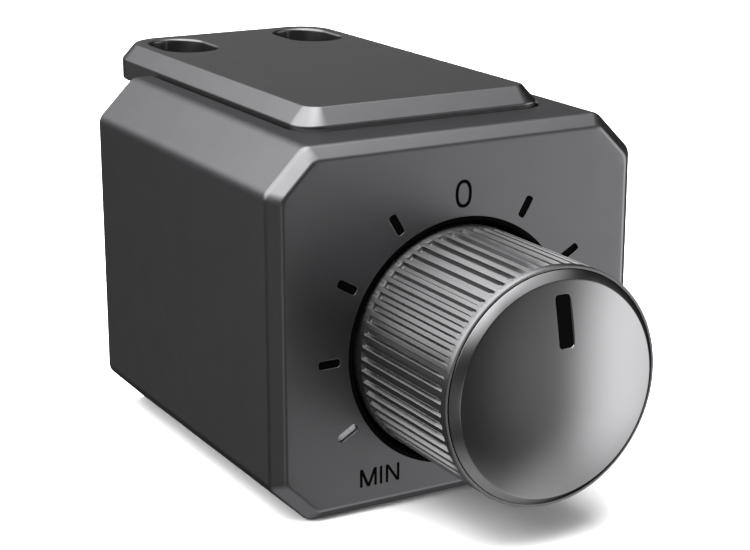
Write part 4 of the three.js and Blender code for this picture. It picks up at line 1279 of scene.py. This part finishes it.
def dress_cad_nodes():
    """Gives every CAD node that still shows its material and softened edges."""
    for name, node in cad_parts.items():
        if node.hide_render:
            continue
        finish = next(material for material, starts in CAD_FINISHES if name.startswith(starts))
        node.data.materials.clear()
        node.data.materials.append(finish)
        flatten = node.modifiers.new("flat_faces", "DECIMATE")
        flatten.decimate_type = "DISSOLVE"
        flatten.angle_limit = math.radians(1)
        soften = node.modifiers.new("soft_edges", "BEVEL")
        soften.width = CAD_EDGE * MM
        soften.segments = 2
        soften.limit_method = "ANGLE"
        soften.angle_limit = math.radians(40)
        weighted = node.modifiers.new("weighted_normals", "WEIGHTED_NORMAL")
        weighted.keep_sharp = True


dress_cad_nodes()

# ------------------------------------------------------------------ floor, light and camera

CAMERA_AZIMUTH = -29.49
CAMERA_ELEVATION = 16.25
CAMERA_DISTANCE = 177.38
CAMERA_LENS = 89.96
CAMERA_AIM = BODY_ORIGIN + Vector((-6.84, 4.53, 21.96))

# Broad soft lights round the object: azimuth to the right of the front (-Y) and elevation in
# degrees, half-width of the full and of the fading part in degrees, strength. One of negative
# strength is a black screen.
SOFT_LIGHTS = (
    (-115, 60, 35, 25, 4.2),
    (-45, 42, 4, 20, 1.6),
    (40, 75, 10, 30, 1.6),
    (71, -8, 4, 36, 3.0),
    (36, -8, 5, 34, 0.4),
    (66, -48, 6, 28, 0.9),
    (10, -84, 12, 38, 0.8),
    (-58, -18, 6, 20, 0.15),
    (-150, -18, 6, 20, 0.3),
    (-30, -16, 4, 14, 0.7),
    (156, 20, 5, 30, 0.35),
    (106, 15, 10, 22, -2.5),
)
AMBIENT = 0.07
DARKEST = 0.02
BACKDROP = 0.95
FLOOR_HALF = 1500
LAMP_SIZE = 0.9  # metres
LAMP_PLACE = Vector((-0.15, -0.1, 0.8))  # metres
LAMP_POWER = 14


def towards(azimuth, elevation):
    a, e = math.radians(azimuth), math.radians(elevation)
    return Vector((math.sin(a) * math.cos(e), -math.cos(a) * math.cos(e), math.sin(e)))


def make_world():
    world = bpy.data.worlds.new("studio")
    world.use_nodes = True
    nodes = Nodes(world.node_tree)
    direction = nodes.add("TexCoord").outputs["Generated"]
    total = AMBIENT
    for azimuth, elevation, full, fade, strength in SOFT_LIGHTS:
        pair = {0: direction, 1: towards(azimuth, elevation)}
        dots = nodes.add("VectorMath", pair, operation="DOT_PRODUCT")
        inputs = {
            "Value": dots.outputs["Value"],
            "From Min": math.cos(math.radians(full + fade)),
            "From Max": math.cos(math.radians(full)),
            "To Max": strength,
        }
        lobe = nodes.add("MapRange", inputs, interpolation_type="SMOOTHSTEP")
        total = nodes.math("ADD", lobe.outputs[0], total)
    total = nodes.math("MAXIMUM", total, DARKEST)
    lit = nodes.add("Background", {"Color": (1, 1, 1, 1), "Strength": total})
    seen = nodes.add("Background", {"Color": rgb(BACKDROP), "Strength": 1.0})
    camera_ray = nodes.add("LightPath").outputs["Is Camera Ray"]
    both = nodes.add("MixShader", {0: camera_ray, 1: lit.outputs[0], 2: seen.outputs[0]})
    nodes.add("OutputWorld", {"Surface": both.outputs[0]})
    bpy.context.scene.world = world


def make_floor():
    mesh = bmesh.new()
    bmesh.ops.create_grid(mesh, x_segments=8, y_segments=8, size=FLOOR_HALF)
    floor = temporary(mesh, "floor")
    floor.data.transform(Matrix.Scale(MM, 4))
    floor.data.materials.append(surface("floor_paper", rgb(0.9), 0.0, 0.9, 1.5, 0.002, 0.01))
    floor.visible_glossy = False


def make_overhead_light():
    """A large soft source overhead for the floor and the plastics."""
    light = bpy.data.lights.new("overhead", "AREA")
    light.shape = "DISK"
    light.size = LAMP_SIZE
    light.energy = LAMP_POWER
    lamp = bpy.data.objects.new("overhead", light)
    lamp.location = LAMP_PLACE
    lamp.rotation_mode = "QUATERNION"
    lamp.rotation_quaternion = (-LAMP_PLACE).to_track_quat("-Z", "Y")
    lamp.visible_glossy = False
    bpy.context.scene.collection.objects.link(lamp)


def make_camera():
    data = bpy.data.cameras.new("camera")
    data.lens = CAMERA_LENS
    data.clip_start = 0.01
    data.clip_end = 10
    camera = bpy.data.objects.new("camera", data)
    back = towards(CAMERA_AZIMUTH, CAMERA_ELEVATION)
    camera.location = (CAMERA_AIM + back * CAMERA_DISTANCE) * MM
    camera.rotation_mode = "QUATERNION"
    camera.rotation_quaternion = (-back).to_track_quat("-Z", "Y")
    bpy.context.scene.collection.objects.link(camera)
    bpy.context.scene.camera = camera


make_world()
make_floor()
make_overhead_light()
make_camera()
bpy.context.scene.view_settings.view_transform = "Standard"
